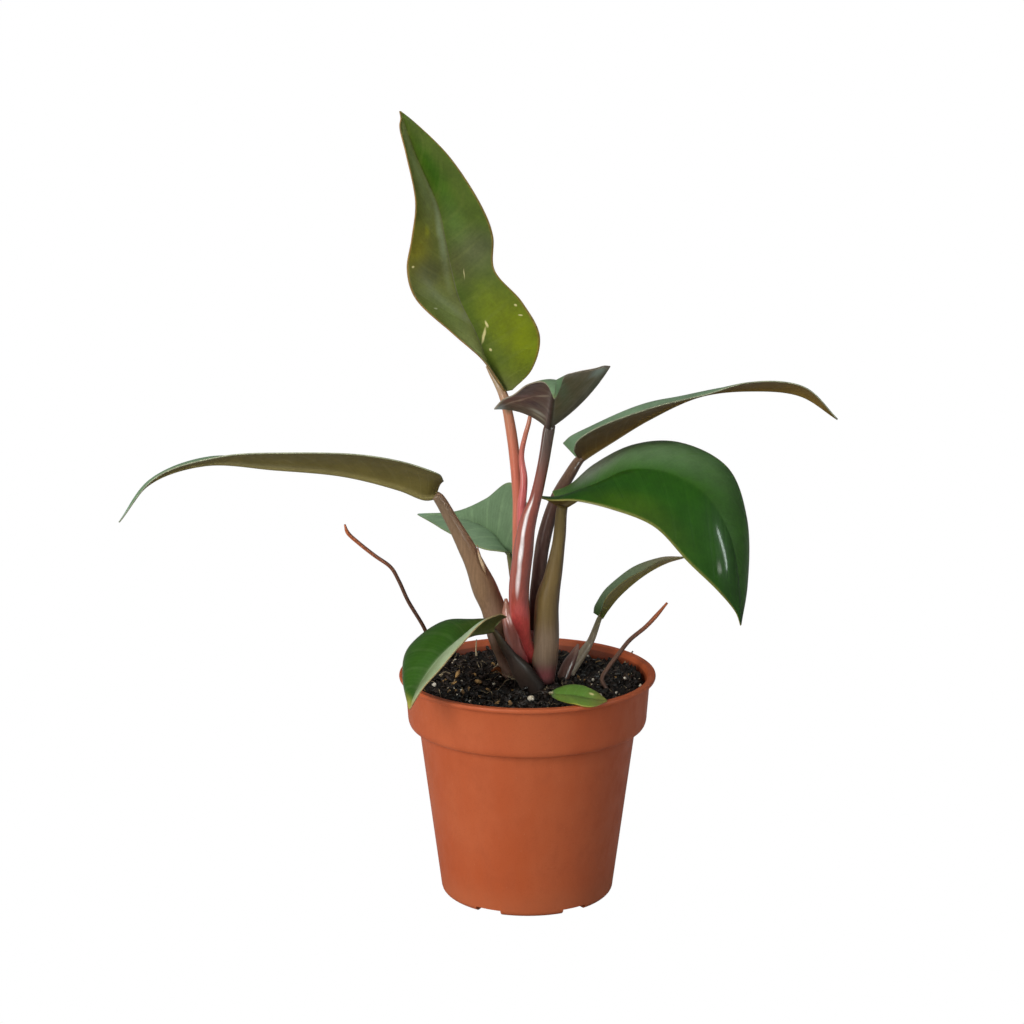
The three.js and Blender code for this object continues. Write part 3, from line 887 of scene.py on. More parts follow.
@dataclass
class NurseryPot:
    """The moulded pot: a tapered body, a collar, a thin lip, and a foot ring with drainage slots."""

    height: float = 93
    lip_radius: float = 52.5
    lip_height: float = 1.8
    lip_rounding: float = 0.5
    wall: float = 1.4
    collar_top_radius: float = 50.2
    collar_foot_radius: float = 49
    collar_foot_height: float = 75.6
    collar_rounding: float = 1.5
    body_top_radius: float = 44.5
    body_top_height: float = 71
    body_foot_radius: float = 35.6
    foot_corner: float = 2.5
    floor_height: float = 4.5
    floor_wall: float = 1.6
    ring_width: float = 4
    disc_radius: float = 11
    facets: int = 180
    slots: int = 6
    first_slot: float = -117
    slot_width: float = 11
    slot_height: float = 2.2
    slot_depth: float = 12
    hole_radius: float = 3.5
    sharp_angle: float = 28

    def inside(self) -> list[tuple[float, float]]:
        """Draw the inner wall's outline, from the floor up to just under the lip.

        Returns:
            Radius and height of each corner.
        """
        return [
            (self.body_foot_radius - self.foot_corner, self.floor_height),
            (self.body_foot_radius - self.wall, self.floor_height + self.foot_corner),
            (self.body_top_radius - self.wall, self.body_top_height - self.wall),
            (self.body_top_radius - self.wall / 4, self.body_top_height + self.wall),
            (self.collar_foot_radius - self.wall, self.collar_foot_height),
            (self.collar_top_radius - self.wall, self.height - self.lip_height - self.lip_rounding),
        ]

    def outline(self) -> list[tuple[float, float]]:
        """Draw the whole section, from the axis underneath, up the outside and back down inside.

        Returns:
            Radius and height of each corner.
        """
        ring = self.body_foot_radius - self.foot_corner
        lip_foot = self.height - self.lip_height
        underside = self.floor_height - self.floor_wall
        corner = [
            (ring + self.foot_corner * math.cos(a), self.foot_corner + self.foot_corner * math.sin(a))
            for a in np.radians(np.linspace(-90, 0, 9))
        ]
        low, high = self.body_top_height + self.collar_rounding / 2, self.collar_foot_height
        inner, outer = self.collar_foot_radius - self.collar_rounding, self.collar_foot_radius
        shoulder = [
            (inner + (outer - inner) * math.sin(a), high - (high - low) * math.cos(a))
            for a in np.radians(np.linspace(0, 90, 8))
        ]
        lip = [
            (
                self.lip_radius - self.lip_rounding * (1 - math.cos(a)),
                self.height - self.lip_height / 2 * (1 - math.sin(a)),
            )
            for a in np.radians(np.linspace(-80, 80, 9))
        ]
        return [
            (0, 0),
            (self.disc_radius, 0),
            (self.disc_radius + 1, underside),
            (ring - self.ring_width - 1, underside),
            (ring - self.ring_width, 0),
            *corner,
            (self.body_top_radius, self.body_top_height),
            *shoulder,
            (self.collar_top_radius - 0.1, lip_foot - 2 * self.lip_rounding),
            (self.collar_top_radius + 0.2, lip_foot - 0.4 * self.lip_rounding),
            *lip,
            (self.collar_top_radius - self.lip_rounding, self.height - 0.1),
            *reversed(self.inside()),
            (0, self.floor_height),
        ]

    def cutter(self) -> Piece:
        """Make the slots and drainage holes as one cutting piece.

        Returns:
            The piece.
        """
        ring = self.body_foot_radius - self.foot_corner
        parts = []
        for number in range(self.slots):
            angle = math.radians(self.first_slot + number * 360 / self.slots)
            way = Vector((math.cos(angle), math.sin(angle), 0))
            bpy.ops.mesh.primitive_cube_add(size=1, location=way * ring * MM, rotation=(0, 0, angle))
            bpy.context.object.scale = Vector((self.slot_depth, self.slot_width, 2 * self.slot_height)) * MM
            parts.append(bpy.context.object)
            bpy.ops.mesh.primitive_cylinder_add(
                vertices=32,
                radius=self.hole_radius * MM,
                depth=2 * self.floor_height * MM,
                location=(way * (ring - self.hole_radius) + Vector((0, 0, self.slot_height))) * MM,
            )
            parts.append(bpy.context.object)
        for part in parts:
            bpy.context.view_layer.objects.active = part
            part.select_set(True)
        bpy.ops.object.transform_apply(location=True, rotation=True, scale=True)
        bpy.ops.object.join()
        return bpy.context.object

    def build(self) -> Piece:
        """Turn the outline about the upright axis and cut the slots and holes.

        Returns:
            The finished pot.
        """
        bpy.ops.mesh.primitive_plane_add(size=1)
        piece = bpy.context.object
        piece.name = "nursery_pot"
        points = [(r * MM, 0, z * MM) for r, z in self.outline()]
        piece.data.clear_geometry()
        piece.data.from_pydata(points, [(i, i + 1) for i in range(len(points) - 1)], [])
        apply_modifier(
            piece, "SCREW", axis="Z", angle=math.tau, steps=self.facets, render_steps=self.facets,
            use_merge_vertices=True, merge_threshold=0.01 * MM,
        )
        close_up(piece)
        bpy.ops.object.select_all(action="DESELECT")
        cutter = self.cutter()
        cutter.select_set(False)
        apply_modifier(
            piece, "BOOLEAN", operation="DIFFERENCE", object=cutter, solver="EXACT", use_self=True
        )
        bpy.data.objects.remove(cutter)
        finish_piece(piece, [NurseryPlastic().material()], "pot_plastic", "pot")
        bpy.context.view_layer.objects.active = piece
        piece.select_set(True)
        bpy.ops.object.shade_smooth_by_angle(angle=math.radians(self.sharp_angle))
        piece.select_set(False)
        return piece


@dataclass
class Soil:
    """Peat-based potting mix: a clodded bed, loose crumbs on it, and what is mixed into it.

    The bed slopes a little, with a mound round the stem and a bank against the pot. Each wave is
    a size, its turns along x and y, and a phase. lump_scale and grit_scales are the noise's steps
    for each millimetre.
    """

    pot: NurseryPot
    surface_height: float = 87.8
    slope_x: float = -0.03
    slope_y: float = 0.01
    mound: float = 3.5
    mound_radius: float = 18
    stem: Span = (3, 0)
    bank: float = 4.2
    bank_place: Span = (46, 12)
    bank_radius: float = 17
    wall_gap: float = 0.6
    facets: int = 260
    rings: int = 90
    waves: tuple[tuple[float, float, float, float], ...] = (
        (0.6, 0.61, 0.53, 1.3),
        (0.6, 0.61, -0.53, 0.4),
        (0.5, 1.15, -0.9, 0),
        (0.35, 0.8, 1.4, 1.6),
    )
    rim_drop: float = 1.5
    top_share: float = 0.8
    lump_scale: float = 0.32
    lump_height: float = 1.1
    grit_scales: Span = (0.9, 2.1)
    grit_height: float = 0.45
    dent_depth: float = 0.55
    dent_scale: float = 1.4
    lump_shapes: int = 5
    lump_rise: float = 0.35
    known_rise: float = 0.5
    thread_step: float = 0.8
    thread_taper: float = 0.6
    crumbs: int = 900
    flakes: int = 800
    strands: int = 420
    perlite: int = 64
    chips: int = 60
    grit: int = 260
    fibres: int = 120
    seed: int = 11
    draw: random.Random = field(init=False)

    def __post_init__(self) -> None:
        """Seed every random draw."""
        self.draw = random.Random(self.seed)

    @property
    def radius(self) -> float:
        """Return how far the soil's surface reaches."""
        return self.pot.collar_top_radius - self.pot.wall - 2 * self.wall_gap

    def height(self, x: float, y: float) -> float:
        """Find the height of the bed with its gentle clods and heaps.

        Args:
            x: Place along X.
            y: Place along Y.

        Returns:
            The height.
        """
        clods = sum(size * math.sin(kx * x + ky * y + phase) for size, kx, ky, phase in self.waves)
        away = math.hypot(x - self.stem[0], y - self.stem[1]) / self.mound_radius
        slope = self.slope_x * x + self.slope_y * y
        bank_away = math.hypot(x - self.bank_place[0], y - self.bank_place[1]) / self.bank_radius
        heaps = self.mound * math.exp(-away * away) + self.bank * math.exp(-bank_away * bank_away)
        return self.surface_height + slope + clods + heaps

    def crumbly(self, x: float, y: float) -> float:
        """Find the height of the bed with the crumbs' own roughness on it.

        Args:
            x: Place along X.
            y: Place along Y.

        Returns:
            The height.
        """
        spot = Vector((x, y, 0))
        lumps = noise.voronoi(spot * self.lump_scale)[0][0]
        coarse, fine = self.grit_scales
        grit = noise.noise(spot * coarse) + 0.5 * noise.noise(spot * fine)
        return self.height(x, y) + self.lump_height * (0.45 - lumps) + self.grit_height * grit

    def profile(self, share: float) -> tuple[float, float]:
        """Follow the bed's outline under its rim, down its side and in to the axis.

        Args:
            share: How far along the outline, from 0 to 1.

        Returns:
            Radius and height.
        """
        wall = [(r - self.wall_gap, z + self.wall_gap) for r, z in reversed(self.pot.inside()[:-1])]
        rim = (self.radius, self.surface_height - self.rim_drop)
        corners = [rim, *wall, (0, self.pot.floor_height + self.wall_gap)]
        place = share * (len(corners) - 1)
        first = min(int(place), len(corners) - 2)
        part = place - first
        (r0, z0), (r1, z1) = corners[first], corners[first + 1]
        return r0 + (r1 - r0) * part, z0 + (z1 - z0) * part

    def bed_surface(self, spots: np.ndarray) -> np.ndarray:
        """Wrap grid points over the bed: the top from its middle out, then the side and underside.

        Args:
            spots: Places round and down the bed, each from -1 to 1.

        Returns:
            The points in millimetres.
        """
        points = np.empty((len(spots), 3))
        for i, (around, down) in enumerate(spots):
            angle = (around + 1) * math.pi
            way = (down + 1) / 2
            if way <= self.top_share:
                radius = self.radius * way / self.top_share
                x, y = radius * math.cos(angle), radius * math.sin(angle)
                points[i] = (x, y, self.crumbly(x, y))
            else:
                radius, z = self.profile((way - self.top_share) / (1 - self.top_share))
                points[i] = (radius * math.cos(angle), radius * math.sin(angle), z)
        return points

    def build_bed(self) -> Piece:
        """Build the bed, which stands for the soil's solid.

        Returns:
            The finished piece.
        """
        piece = grid_mesh("soil_bed", self.facets, self.rings, self.bed_surface)
        close_up(piece)
        # Damp milled peat: nearly black, matte and crumbly.
        finish = LooseFinish("damp_peat", "0d0a08", "241b15", 2.2, 0.8, 0.5)
        finish_piece(piece, [finish.material()], "potting_soil", "soil")
        return piece

    def scattered(self, count: int, edge: float = 1.0) -> Iterable[Point]:
        """Draw places that lie evenly over the soil.

        Args:
            count: How many places.
            edge: How far from the soil's edge they stay.

        Returns:
            The points, on the crumbly surface.
        """
        for _ in range(count):
            radius = (self.radius - edge) * math.sqrt(self.draw.random())
            angle = self.draw.uniform(0, math.tau)
            x, y = radius * math.cos(angle), radius * math.sin(angle)
            yield x, y, self.crumbly(x, y)

    def lump_shape(self, detail: int, roughness: float, stretch: Point) -> tuple[np.ndarray, np.ndarray]:
        """Model one lump as a dented ball.

        Args:
            detail: How finely the ball is divided.
            roughness: How deep the dents are, as a share of the radius.
            stretch: Scale along each axis.

        Returns:
            The lump's points and triangles, for a radius of 1.
        """
        bpy.ops.mesh.primitive_ico_sphere_add(subdivisions=detail, radius=1)
        ball = bpy.context.object
        shift = Vector([self.draw.uniform(0, 9) for _ in range(3)])
        points = []
        for vertex in ball.data.vertices:
            dent = 1 + roughness * noise.noise(vertex.co * self.dent_scale + shift)
            points.append([c * s * dent for c, s in zip(vertex.co, stretch)])
        faces = [list(face.vertices) for face in ball.data.polygons]
        bpy.data.objects.remove(ball)
        return np.array(points), np.array(faces)

    def turned(self, points: np.ndarray) -> np.ndarray:
        """Turn points to a random direction, by an angle round each axis.

        Args:
            points: The points.

        Returns:
            The turned points.
        """
        a, b, c = (self.draw.uniform(0, math.tau) for _ in range(3))
        turn_z = np.array([[math.cos(a), -math.sin(a), 0], [math.sin(a), math.cos(a), 0], [0, 0, 1]])
        turn_x = np.array([[1, 0, 0], [0, math.cos(b), -math.sin(b)], [0, math.sin(b), math.cos(b)]])
        turn_y = np.array([[math.cos(c), 0, math.sin(c)], [0, 1, 0], [-math.sin(c), 0, math.cos(c)]])
        return points @ (turn_z @ turn_x @ turn_y).T

    def merged(self, name: str, lumps: list[tuple[np.ndarray, np.ndarray]]) -> Piece:
        """Join lumps into one piece.

        Args:
            name: The piece's name.
            lumps: The points, in millimetres, and the triangles of each.

        Returns:
            The piece.
        """
        points, faces, start = [], [], 0
        for shape, corners in lumps:
            points.append(shape * MM)
            faces.append(corners + start)
            start += len(shape)
        bpy.ops.mesh.primitive_plane_add(size=1)
        piece = bpy.context.object
        piece.name = name
        piece.data.clear_geometry()
        piece.data.from_pydata(np.concatenate(points).tolist(), [], np.concatenate(faces).tolist())
        piece.data.update()
        return piece

    def strewn(
        self, name: str, finish: LooseFinish, count: int, sizes: Span, stretch: Point,
        placed: Sequence[Point] = (), detail: int = 2,
    ) -> Piece:
        """Strew lumps of one kind over the soil.

        Args:
            name: The piece's name.
            finish: The lumps' finish.
            count: How many are strewn at random.
            sizes: The smallest and largest radius.
            stretch: Scale of a lump along its axes.
            placed: Lumps with a known place: x, y and radius.
            detail: How finely a lump is divided.

        Returns:
            The finished piece.
        """
        shapes = [self.lump_shape(detail, self.dent_depth, stretch) for _ in range(self.lump_shapes)]
        spots = [(x, y, z, self.draw.uniform(*sizes)) for x, y, z in self.scattered(count)]
        spots += [(x, y, self.crumbly(x, y) + self.known_rise * radius, radius) for x, y, radius in placed]
        lumps = []
        for x, y, z, radius in spots:
            points, faces = self.draw.choice(shapes)
            middle = np.array([x, y, z + self.lump_rise * radius])
            lumps.append((self.turned(points * radius) + middle, faces))
        piece = self.merged(name, lumps)
        finish_piece(piece, [finish.material()], "potting_soil")
        return piece

    def thread(self, path: Sequence[Point], radius: float, sides: int = 5) -> tuple[np.ndarray, np.ndarray]:
        """Model one fibre as a thin closed tube that thins along its path.

        Args:
            path: The points that it runs through.
            radius: Its radius at the start.
            sides: How many sides it has.

        Returns:
            The points and triangles.
        """
        curve = Spline(tuple(path))
        steps = max(4, int(curve.length() / self.thread_step))
        rings = []
        for i in range(steps + 1):
            t = i / steps
            centre, ahead = curve.at(t), curve.tangent(t)
            # A leaning upright, so that no fibre runs along it.
            side = unit(np.cross(ahead, [0.13, 0.21, 1.0]))
            rise = np.cross(side, ahead)
            thin = radius * (1 - self.thread_taper * t)
            turn = np.linspace(0, math.tau, sides, endpoint=False)[:, None]
            rings.append(centre + (np.cos(turn) * side + np.sin(turn) * rise) * thin)
        points = np.concatenate(rings)
        faces = []
        for i in range(steps):
            for j in range(sides):
                a, b = i * sides + j, i * sides + (j + 1) % sides
                faces += [[a, b + sides, b], [a, a + sides, b + sides]]
        for j in range(1, sides - 1):
            faces.append([0, j, j + 1])
            last = steps * sides
            faces.append([last, last + j + 1, last + j])
        return points, np.array(faces)

    def loose_path(self, x: float, y: float, steps: int, stride: Span) -> list[Point]:
        """Draw a fibre's winding path over the soil, kept clear of the wall.

        Args:
            x: Where it starts along X.
            y: Where it starts along Y.
            steps: How many points it has.
            stride: The shortest and longest step.

        Returns:
            The points.
        """
        way = self.draw.uniform(0, math.tau)
        lift = self.draw.uniform(0.3, 1.0)
        path = []
        for _ in range(steps):
            if math.hypot(x, y) > self.radius - 1:
                break
            path.append((x, y, self.crumbly(x, y) + lift))
            way += self.draw.uniform(-0.8, 0.8)
            step = self.draw.uniform(*stride)
            x, y = x + step * math.cos(way), y + step * math.sin(way)
        return path

    def build_threads(
        self, name: str, finish: LooseFinish, count: int, stride: Span, radii: Span,
        known: Sequence[tuple[float, Sequence[Point]]] = (),
    ) -> None:
        """Lay fibres of one kind over the soil.

        Args:
            name: The piece's name.
            finish: The fibres' finish.
            count: How many are laid at random.
            stride: The shortest and longest step between a fibre's points.
            radii: The thinnest and thickest radius.
            known: Fibres with a known place: the radius and the path.
        """
        threads = [self.thread(path, radius) for radius, path in known]
        for x, y, _ in self.scattered(count, 3):
            path = self.loose_path(x, y, self.draw.choice((3, 4, 5)), stride)
            if len(path) > 2:
                threads.append(self.thread(path, self.draw.uniform(*radii)))
        finish_piece(self.merged(name, threads), [finish.material()], "potting_soil")

    def known_roots(self) -> list[tuple[float, Sequence[Point]]]:
        """List the pale roots that stand out: a star of five, a curl, a stub, a spike and a chip.

        Returns:
            The radius and path of each.
        """
        hub = (-7.5, -7, 92.6)
        rays = [(-12, -2, 93.4), (-2.5, -4.5, 93.2), (-1, -12, 91.4), (-8, -1.5, 93.6), (-12, -18, 90.6)]
        star = [(0.22, (hub, tuple((a + b) / 2 + 0.3 for a, b in zip(hub, ray)), ray)) for ray in rays]
        curl = (0.3, ((-14, 8, 92), (-11.5, 9, 93.6), (-10, 5, 94), (-12, 2, 93), (-14, 1, 92)))
        stub = (0.8, ((40, 25, 87), (42.5, 27, 91), (44.5, 28.5, 93.5)))
        spike = (0.55, ((-21, 33, 88), (-21.5, 34, 92), (-21.3, 34.5, 97)))
        curved_chip = (0.8, ((-36, 5, 89.5), (-34, 8, 90.2), (-31.5, 7.5, 89.8)))
        return [*star, curl, stub, spike, curved_chip]

    def build(self) -> None:
        """Build the bed and everything loose on it."""
        self.build_bed()
        # Crumbs of milled peat: black and damp, so each catches only a dull glint.
        peat = LooseFinish("peat_crumbs", "0b0807", "2e231c", 3.0, 0.6, 0.4)
        self.strewn("peat_crumbs", peat, self.crumbs, (0.4, 1.2), (1, 0.9, 0.8))
        # Flakes of rotted wood and leaf in the peat: flat, browner and a little smoother.
        flakes = LooseFinish("peat_flakes", "0d0907", "35281f", 3.5, 0.45, 0.3)
        self.strewn("peat_flakes", flakes, self.flakes, (0.7, 2.1), (1, 0.5, 0.25))
        # Moss and sedge strands in the peat: brown threads with soft ends.
        strands = LooseFinish("peat_strands", "0f0b09", "3f3026", 4.0, 0.6, 0.1)
        self.build_threads("peat_strands", strands, self.strands, (0.8, 2.4), (0.15, 0.5))
        # Perlite: foamed volcanic glass, off-white, dull and pitted.
        perlite = LooseFinish("perlite", "efe8d8", "bcae90", 1.5, 0.8, 0.3)
        known_perlite = [
            (-29.5, 26, 1.5), (1.3, -27, 1.4), (29, -20, 1.3), (-26.5, -16, 1.0), (-38, -8, 1.2),
            (24, 3, 0.7), (-23, -30, 0.8), (40, 0.5, 0.8), (46, -6, 0.7), (-6, 22, 0.6),
            (36, -12, 0.7), (-14, -24, 0.6),
        ]
        self.strewn("perlite", perlite, self.perlite, (0.25, 0.75), (1, 0.85, 0.8), known_perlite)
        # Chips of pine bark: warm brown outside and pale where they broke.
        bark = LooseFinish("pine_bark", "a8844f", "5a3f28", 2.0, 0.8, 0.3)
        known_bark = [
            (-28.5, 1.7, 2.4), (41, 3, 1.4), (-33, -14, 1.3), (13, -26, 1.5), (30, 24, 1.5),
            (-12, -31, 1.4), (21, 4, 1.5), (23, -2, 1.3), (-7, -32, 1.3), (-14, 24, 1.5),
            (-19, -26, 1.2), (8, -34, 1.2), (43, 30, 1.6), (-30, -6, 1.7), (-24, -12, 1.5),
            (-20, -4, 1.9), (-34, -2, 1.3), (-26, -20, 1.4), (-22, 6, 1.6), (-16, -14, 1.2),
        ]
        self.strewn("bark_chips", bark, self.chips, (0.5, 1.4), (1, 0.5, 0.35), known_bark)
        # Sand and fine grit in the mix: sharp pale grains.
        grit = LooseFinish("pale_grit", "cfc4a4", "7d6f52", 1.0, 0.7, 0.1)
        self.strewn("pale_grit", grit, self.grit, (0.15, 0.42), (1, 0.8, 0.6), detail=1)
        # Dead roots: dry, tan and wiry.
        roots = LooseFinish("dry_root_fibre", "a89878", "5c4a3a", 4.0, 0.7, 0.1)
        self.build_threads("root_fibres", roots, self.fibres, (1.0, 2.6), (0.1, 0.24), self.known_roots())


@dataclass(frozen=True)
class SoftLight:
    """A soft rectangular light that faces a target, with sizes in metres and its power in watts."""

    name: str
    place: Point
    target: Point
    size: Span
    power: float
    tint: Point

    def hang(self) -> Piece:
        """Hang the light.

        Returns:
            The light.
        """
        bpy.ops.object.light_add(type="AREA", location=self.place)
        light = bpy.context.object
        light.name = self.name
        way = Vector(self.target) - Vector(self.place)
        light.rotation_euler = way.to_track_quat("-Z", "Y").to_euler()
        light.data.shape = "RECTANGLE"
        light.data.size, light.data.size_y = self.size
        light.data.energy = self.power
        light.data.color = self.tint
        return light


@dataclass
class Studio:
    """A pale floor, soft light and a camera at the height of a standing viewer's hand.

    The places are in metres.
    """

    camera_place: Point = (-0.0063, -1.0, 0.39)
    camera_pitch: float = 0.226
    focal_pixels: float = 2542.7
    picture_pixels: float = 1024
    sensor_mm: float = 36
    room_light: float = 0.42
    room_gloss: float = 0.1
    floor_size: float = 40
    floor_drop: float = 0.0002
    middle: Point = (0, 0, 0.16)
    leaf_light_spread: float = 18

    def build_camera(self) -> None:
        """Set up the camera, which looks down a little at the plant."""
        tilt = (math.pi / 2 - self.camera_pitch, 0, 0)
        bpy.ops.object.camera_add(location=self.camera_place, rotation=tilt)
        camera = bpy.context.object
        camera.data.sensor_width = self.sensor_mm
        camera.data.sensor_fit = "HORIZONTAL"
        camera.data.lens = self.focal_pixels / self.picture_pixels * self.sensor_mm
        bpy.context.scene.camera = camera

    def build_floor(self) -> None:
        """Lay the floor, which looks white and throws little light, as where a picture is cut out."""
        bpy.ops.mesh.primitive_plane_add(size=self.floor_size, location=(0, 0, -self.floor_drop))
        floor = bpy.context.object
        floor.name = "floor"
        material, tree = new_material("white_floor")
        seen = add_node(tree, "ShaderNodeLightPath").outputs["Is Camera Ray"]
        paper = add_node(tree, "ShaderNodeBsdfDiffuse", {"Color": (0.4, 0.4, 0.4, 1)})
        white = add_node(tree, "ShaderNodeEmission", {"Color": (1, 1, 1, 1), "Strength": 1.0})
        mixed = add_node(tree, "ShaderNodeMixShader", {0: seen, 1: paper.outputs[0], 2: white.outputs[0]})
        add_node(tree, "ShaderNodeOutputMaterial", {"Surface": mixed.outputs[0]})
        floor.data.materials.append(material)

    def build_world(self) -> None:
        """Light the room evenly and softly, with a dimmer room in the reflections."""
        world = bpy.data.worlds.new("studio")
        bpy.context.scene.world = world
        world.use_nodes = True
        tree = world.node_tree
        tree.nodes.clear()
        path = add_node(tree, "ShaderNodeLightPath")
        strength = mapped(tree, path.outputs["Is Glossy Ray"], 0, 1, self.room_light, self.room_gloss)
        strength = maths(tree, "MAXIMUM", strength, path.outputs["Is Camera Ray"])
        glow = add_node(tree, "ShaderNodeBackground", {"Color": (1, 1, 1, 1), "Strength": strength})
        add_node(tree, "ShaderNodeOutputWorld", {"Surface": glow.outputs[0]})

    def build_lights(self) -> None:
        """Hang the window, the sky, a low side light, a strip for the gloss and a leaf light."""
        middle = self.middle
        SoftLight("window", (-0.72, -0.95, 0.55), middle, (0.4, 0.8), 10.5, (1, 0.985, 0.95)).hang()
        sky = SoftLight("skylight", (-0.2, 0.1, 1.3), middle, (0.9, 0.9), 5, (0.96, 0.98, 1)).hang()
        sky.visible_glossy = False
        low = (-0.04, 0, 0.08)
        SoftLight("side", (-1.1, -0.25, 0.25), low, (0.4, 0.4), 1.6, (1, 0.97, 0.92)).hang()
        gloss = (0.07, -0.03, 0.16)
        strip = SoftLight("strip", (0.93, -0.48, 0.6), gloss, (0.12, 0.5), 6.0, (0.9, 1, 0.97)).hang()
        strip.visible_diffuse = False
        high = (-0.03, 0, 0.27)
        lamp = SoftLight("leaf_light", (0.5, -0.7, 0.5), high, (0.3, 0.3), 0.05, (1, 1, 0.97)).hang()
        lamp.data.spread = math.radians(self.leaf_light_spread)

    def build(self) -> None:
        """Build the whole studio."""
        bpy.context.scene.view_settings.view_transform = "Standard"
        self.build_world()
        self.build_camera()
        self.build_floor()
        self.build_lights()


FLECK = "cfc48a"

# A grown leaf under a dull bloom of wax: mottled olive, with cream flecks that lack green; grey-green bands
# left of and along the midrib are painted sheen.
TALL_TOP = LeafFinish(
    "tall_leaf_top", "5c6222", "485a1c", "5c6234", "625c24", "5c5c40", "75803c", "8a6a34",
    vein_count=15, vein_strength=0.12, mottle=0.2, roughness=0.5, coat=0.06,
    relief_mm=0.04,
    patches=(
        Patch(0.75, 0.2, 0.85, 0.26, "6a7600", 1.0),
        Patch(0.35, 0.67, 0.45, 0.11, "2f5800", 0.85),
        Patch(0.7, 0.46, 0.8, 0.12, "54583a", 0.8),
        Patch(0.35, 0.56, 0.4, 0.12, "4f6a2c", 0.6),
        # Painted sheen: the grey-green band left of the midrib and the strip along it.
        Patch(-0.5, 0.7, 0.6, 0.2, "728050", 0.8),
        Patch(-0.17, 0.5, 0.2, 0.24, "7a8664", 0.75),
        Patch(-0.85, 0.46, 0.5, 0.12, "7a7416", 0.8),
        Patch(-0.5, 0.4, 0.6, 0.07, "42421a", 0.85),
        Patch(-0.6, 0.25, 0.7, 0.12, "68783e", 0.75),
        Patch(-0.65, 0.12, 0.8, 0.14, "98a268", 0.9),
        Patch(0.2, 0.41, 0.5, 0.1, "4c4c28", 0.75),
        Patch(0.4, 0.12, 0.4, 0.06, "4c5c14", 0.6),
        Patch(-0.6, 0.52, 0.12, 0.03, "8a8a1c", 0.7),
        Patch(0.18, 0.192, 0.17, 0.008, FLECK, 0.9, 0.7, slant=-0.2),
        Patch(0.35, 0.228, 0.035, 0.012, FLECK, 0.9, 0.7, slant=-0.2),
        Patch(0.23, 0.15, 0.035, 0.006, FLECK, 0.9, 0.6),
        Patch(0.35, 0.385, 0.06, 0.006, "b0a878", 0.8, 0.7, slant=-0.4),
        Patch(-0.87, 0.41, 0.03, 0.005, FLECK, 0.9, 0.6),
        Patch(0.87, 0.29, 0.03, 0.005, FLECK, 0.9, 0.6),
        Patch(0.88, 0.26, 0.03, 0.003, FLECK, 0.8, 0.6),
        Patch(-0.75, 0.27, 0.06, 0.003, "a8ac84", 0.8, 0.6),
    ),
)
# A new leaf with a fresh bloom, which looks blue-grey and satiny.
YOUNG_TOP = LeafFinish(
    "young_leaf_top", "5f7c58", "66805f", "5a6a4c", "6a7a4c", "4c3a34", "7a9074", "8f8470",
    vein_count=7, vein_strength=0.1, roughness=0.4, coat=0.2,
)
# A bluish bloom, on the upper faces of the long and the arching leaf.
PALE_TOP = LeafFinish(
    "bluish_leaf_top", "6f8a6a", "6f8a6a", "64805c", "8aa394", "84987c", "8fa48c", "8f9478",
    vein_count=16, vein_strength=0.1, roughness=0.4, coat=0.2,
)
# A grown leaf whose wax lies smooth: deep green with a sharp, wet-looking highlight; the pale grey-green of
# its far half is painted sheen.
GLOSSY_TOP = LeafFinish(
    "glossy_leaf_top", "305818", "204a08", "45642c", "123402", "2a5010", "3a6a1c", "84803c",
    vein_count=13, vein_strength=0.1, midrib_width=0.02, roughness=0.5, coat=0.3, coat_roughness=0.13,
    relief_mm=0.08, mottle=0.16,
    patches=(
        # Painted sheen on the far half and near its foot.
        Patch(-0.6, 0.42, 0.7, 0.34, "648058", 0.85),
        Patch(-0.75, 0.26, 0.6, 0.15, "8c9484", 0.8),
        Patch(0.65, 0.3, 0.6, 0.12, "1c4010", 0.5),
        Patch(0.9, 0.45, 0.4, 0.25, "3f5a0c", 0.6),
        Patch(0.2, 0.38, 0.12, 0.03, "1c3c0c", 0.6),
    ),
)
# The same smooth wax; the half in the light is painted pale, a painted sheen, and the other deep green.
FRONT_TOP = LeafFinish(
    "front_leaf_top", "9cac88", "2e5216", "647e4a", "9a9440", "6a8458", "7c9460", "a08c5c",
    vein_count=10, vein_strength=0.08, roughness=0.38, coat=0.25, relief_mm=0.06, tip_reach=0.12,
    patches=(
        # Painted sheen on the pale half, strongest towards its foot.
        Patch(-0.5, 0.36, 0.7, 0.32, "a8ba9e", 0.8),
        Patch(-0.5, 0.78, 0.8, 0.24, "6a7a50", 0.8),
    ),
)
# Blue-green tissue with a thin bloom and dark side veins that show through.
REAR_TOP = LeafFinish(
    "rear_leaf_top", "70896a", "6a8462", "748a66", "7a9a80", "7f9a70", "8aa67c", "7d8a5c",
    vein_count=7, vein_strength=0.3, roughness=0.45, coat=0.1, relief_mm=0.08,
)
# A small leaf, green at its foot and dull taupe towards its tip, and pale grey-green between them, a painted
# sheen.
SMALL_TOP = LeafFinish(
    "small_leaf_top", "748a68", "748a68", "3f5c22", "94846c", "5c7838", "6f8860", "6f6a38",
    vein_count=8, vein_strength=0.08, roughness=0.45, coat=0.1, mottle=0.04, relief_mm=0.015,
    base_reach=0.45, tip_reach=0.55,
)
# A tender low leaf: bright green, yellowing at its tip.
SEEDLING_TOP = LeafFinish(
    "seedling_leaf_top", "5a7e32", "647f34", "5c7048", "787a3a", "5f8448", "6a8f50", "9a9a3c",
    vein_count=7, vein_strength=0.2, roughness=0.4, coat=0.2, relief_mm=0.06, tip_reach=0.4,
    patches=(Patch(-0.5, 0.74, 0.15, 0.05, FLECK, 0.8, 0.6),),
)
# Undersides have little wax: matte, with veins that stand out. This one is olive.
TALL_BACK = LeafFinish(
    "tall_leaf_back", "6a6a38", "6a6a38", "7a6244", "6b5a2e", "a08462", "84844c", "85642c",
    vein_count=15, vein_strength=0.2, roughness=0.5, coat=0.05,
)
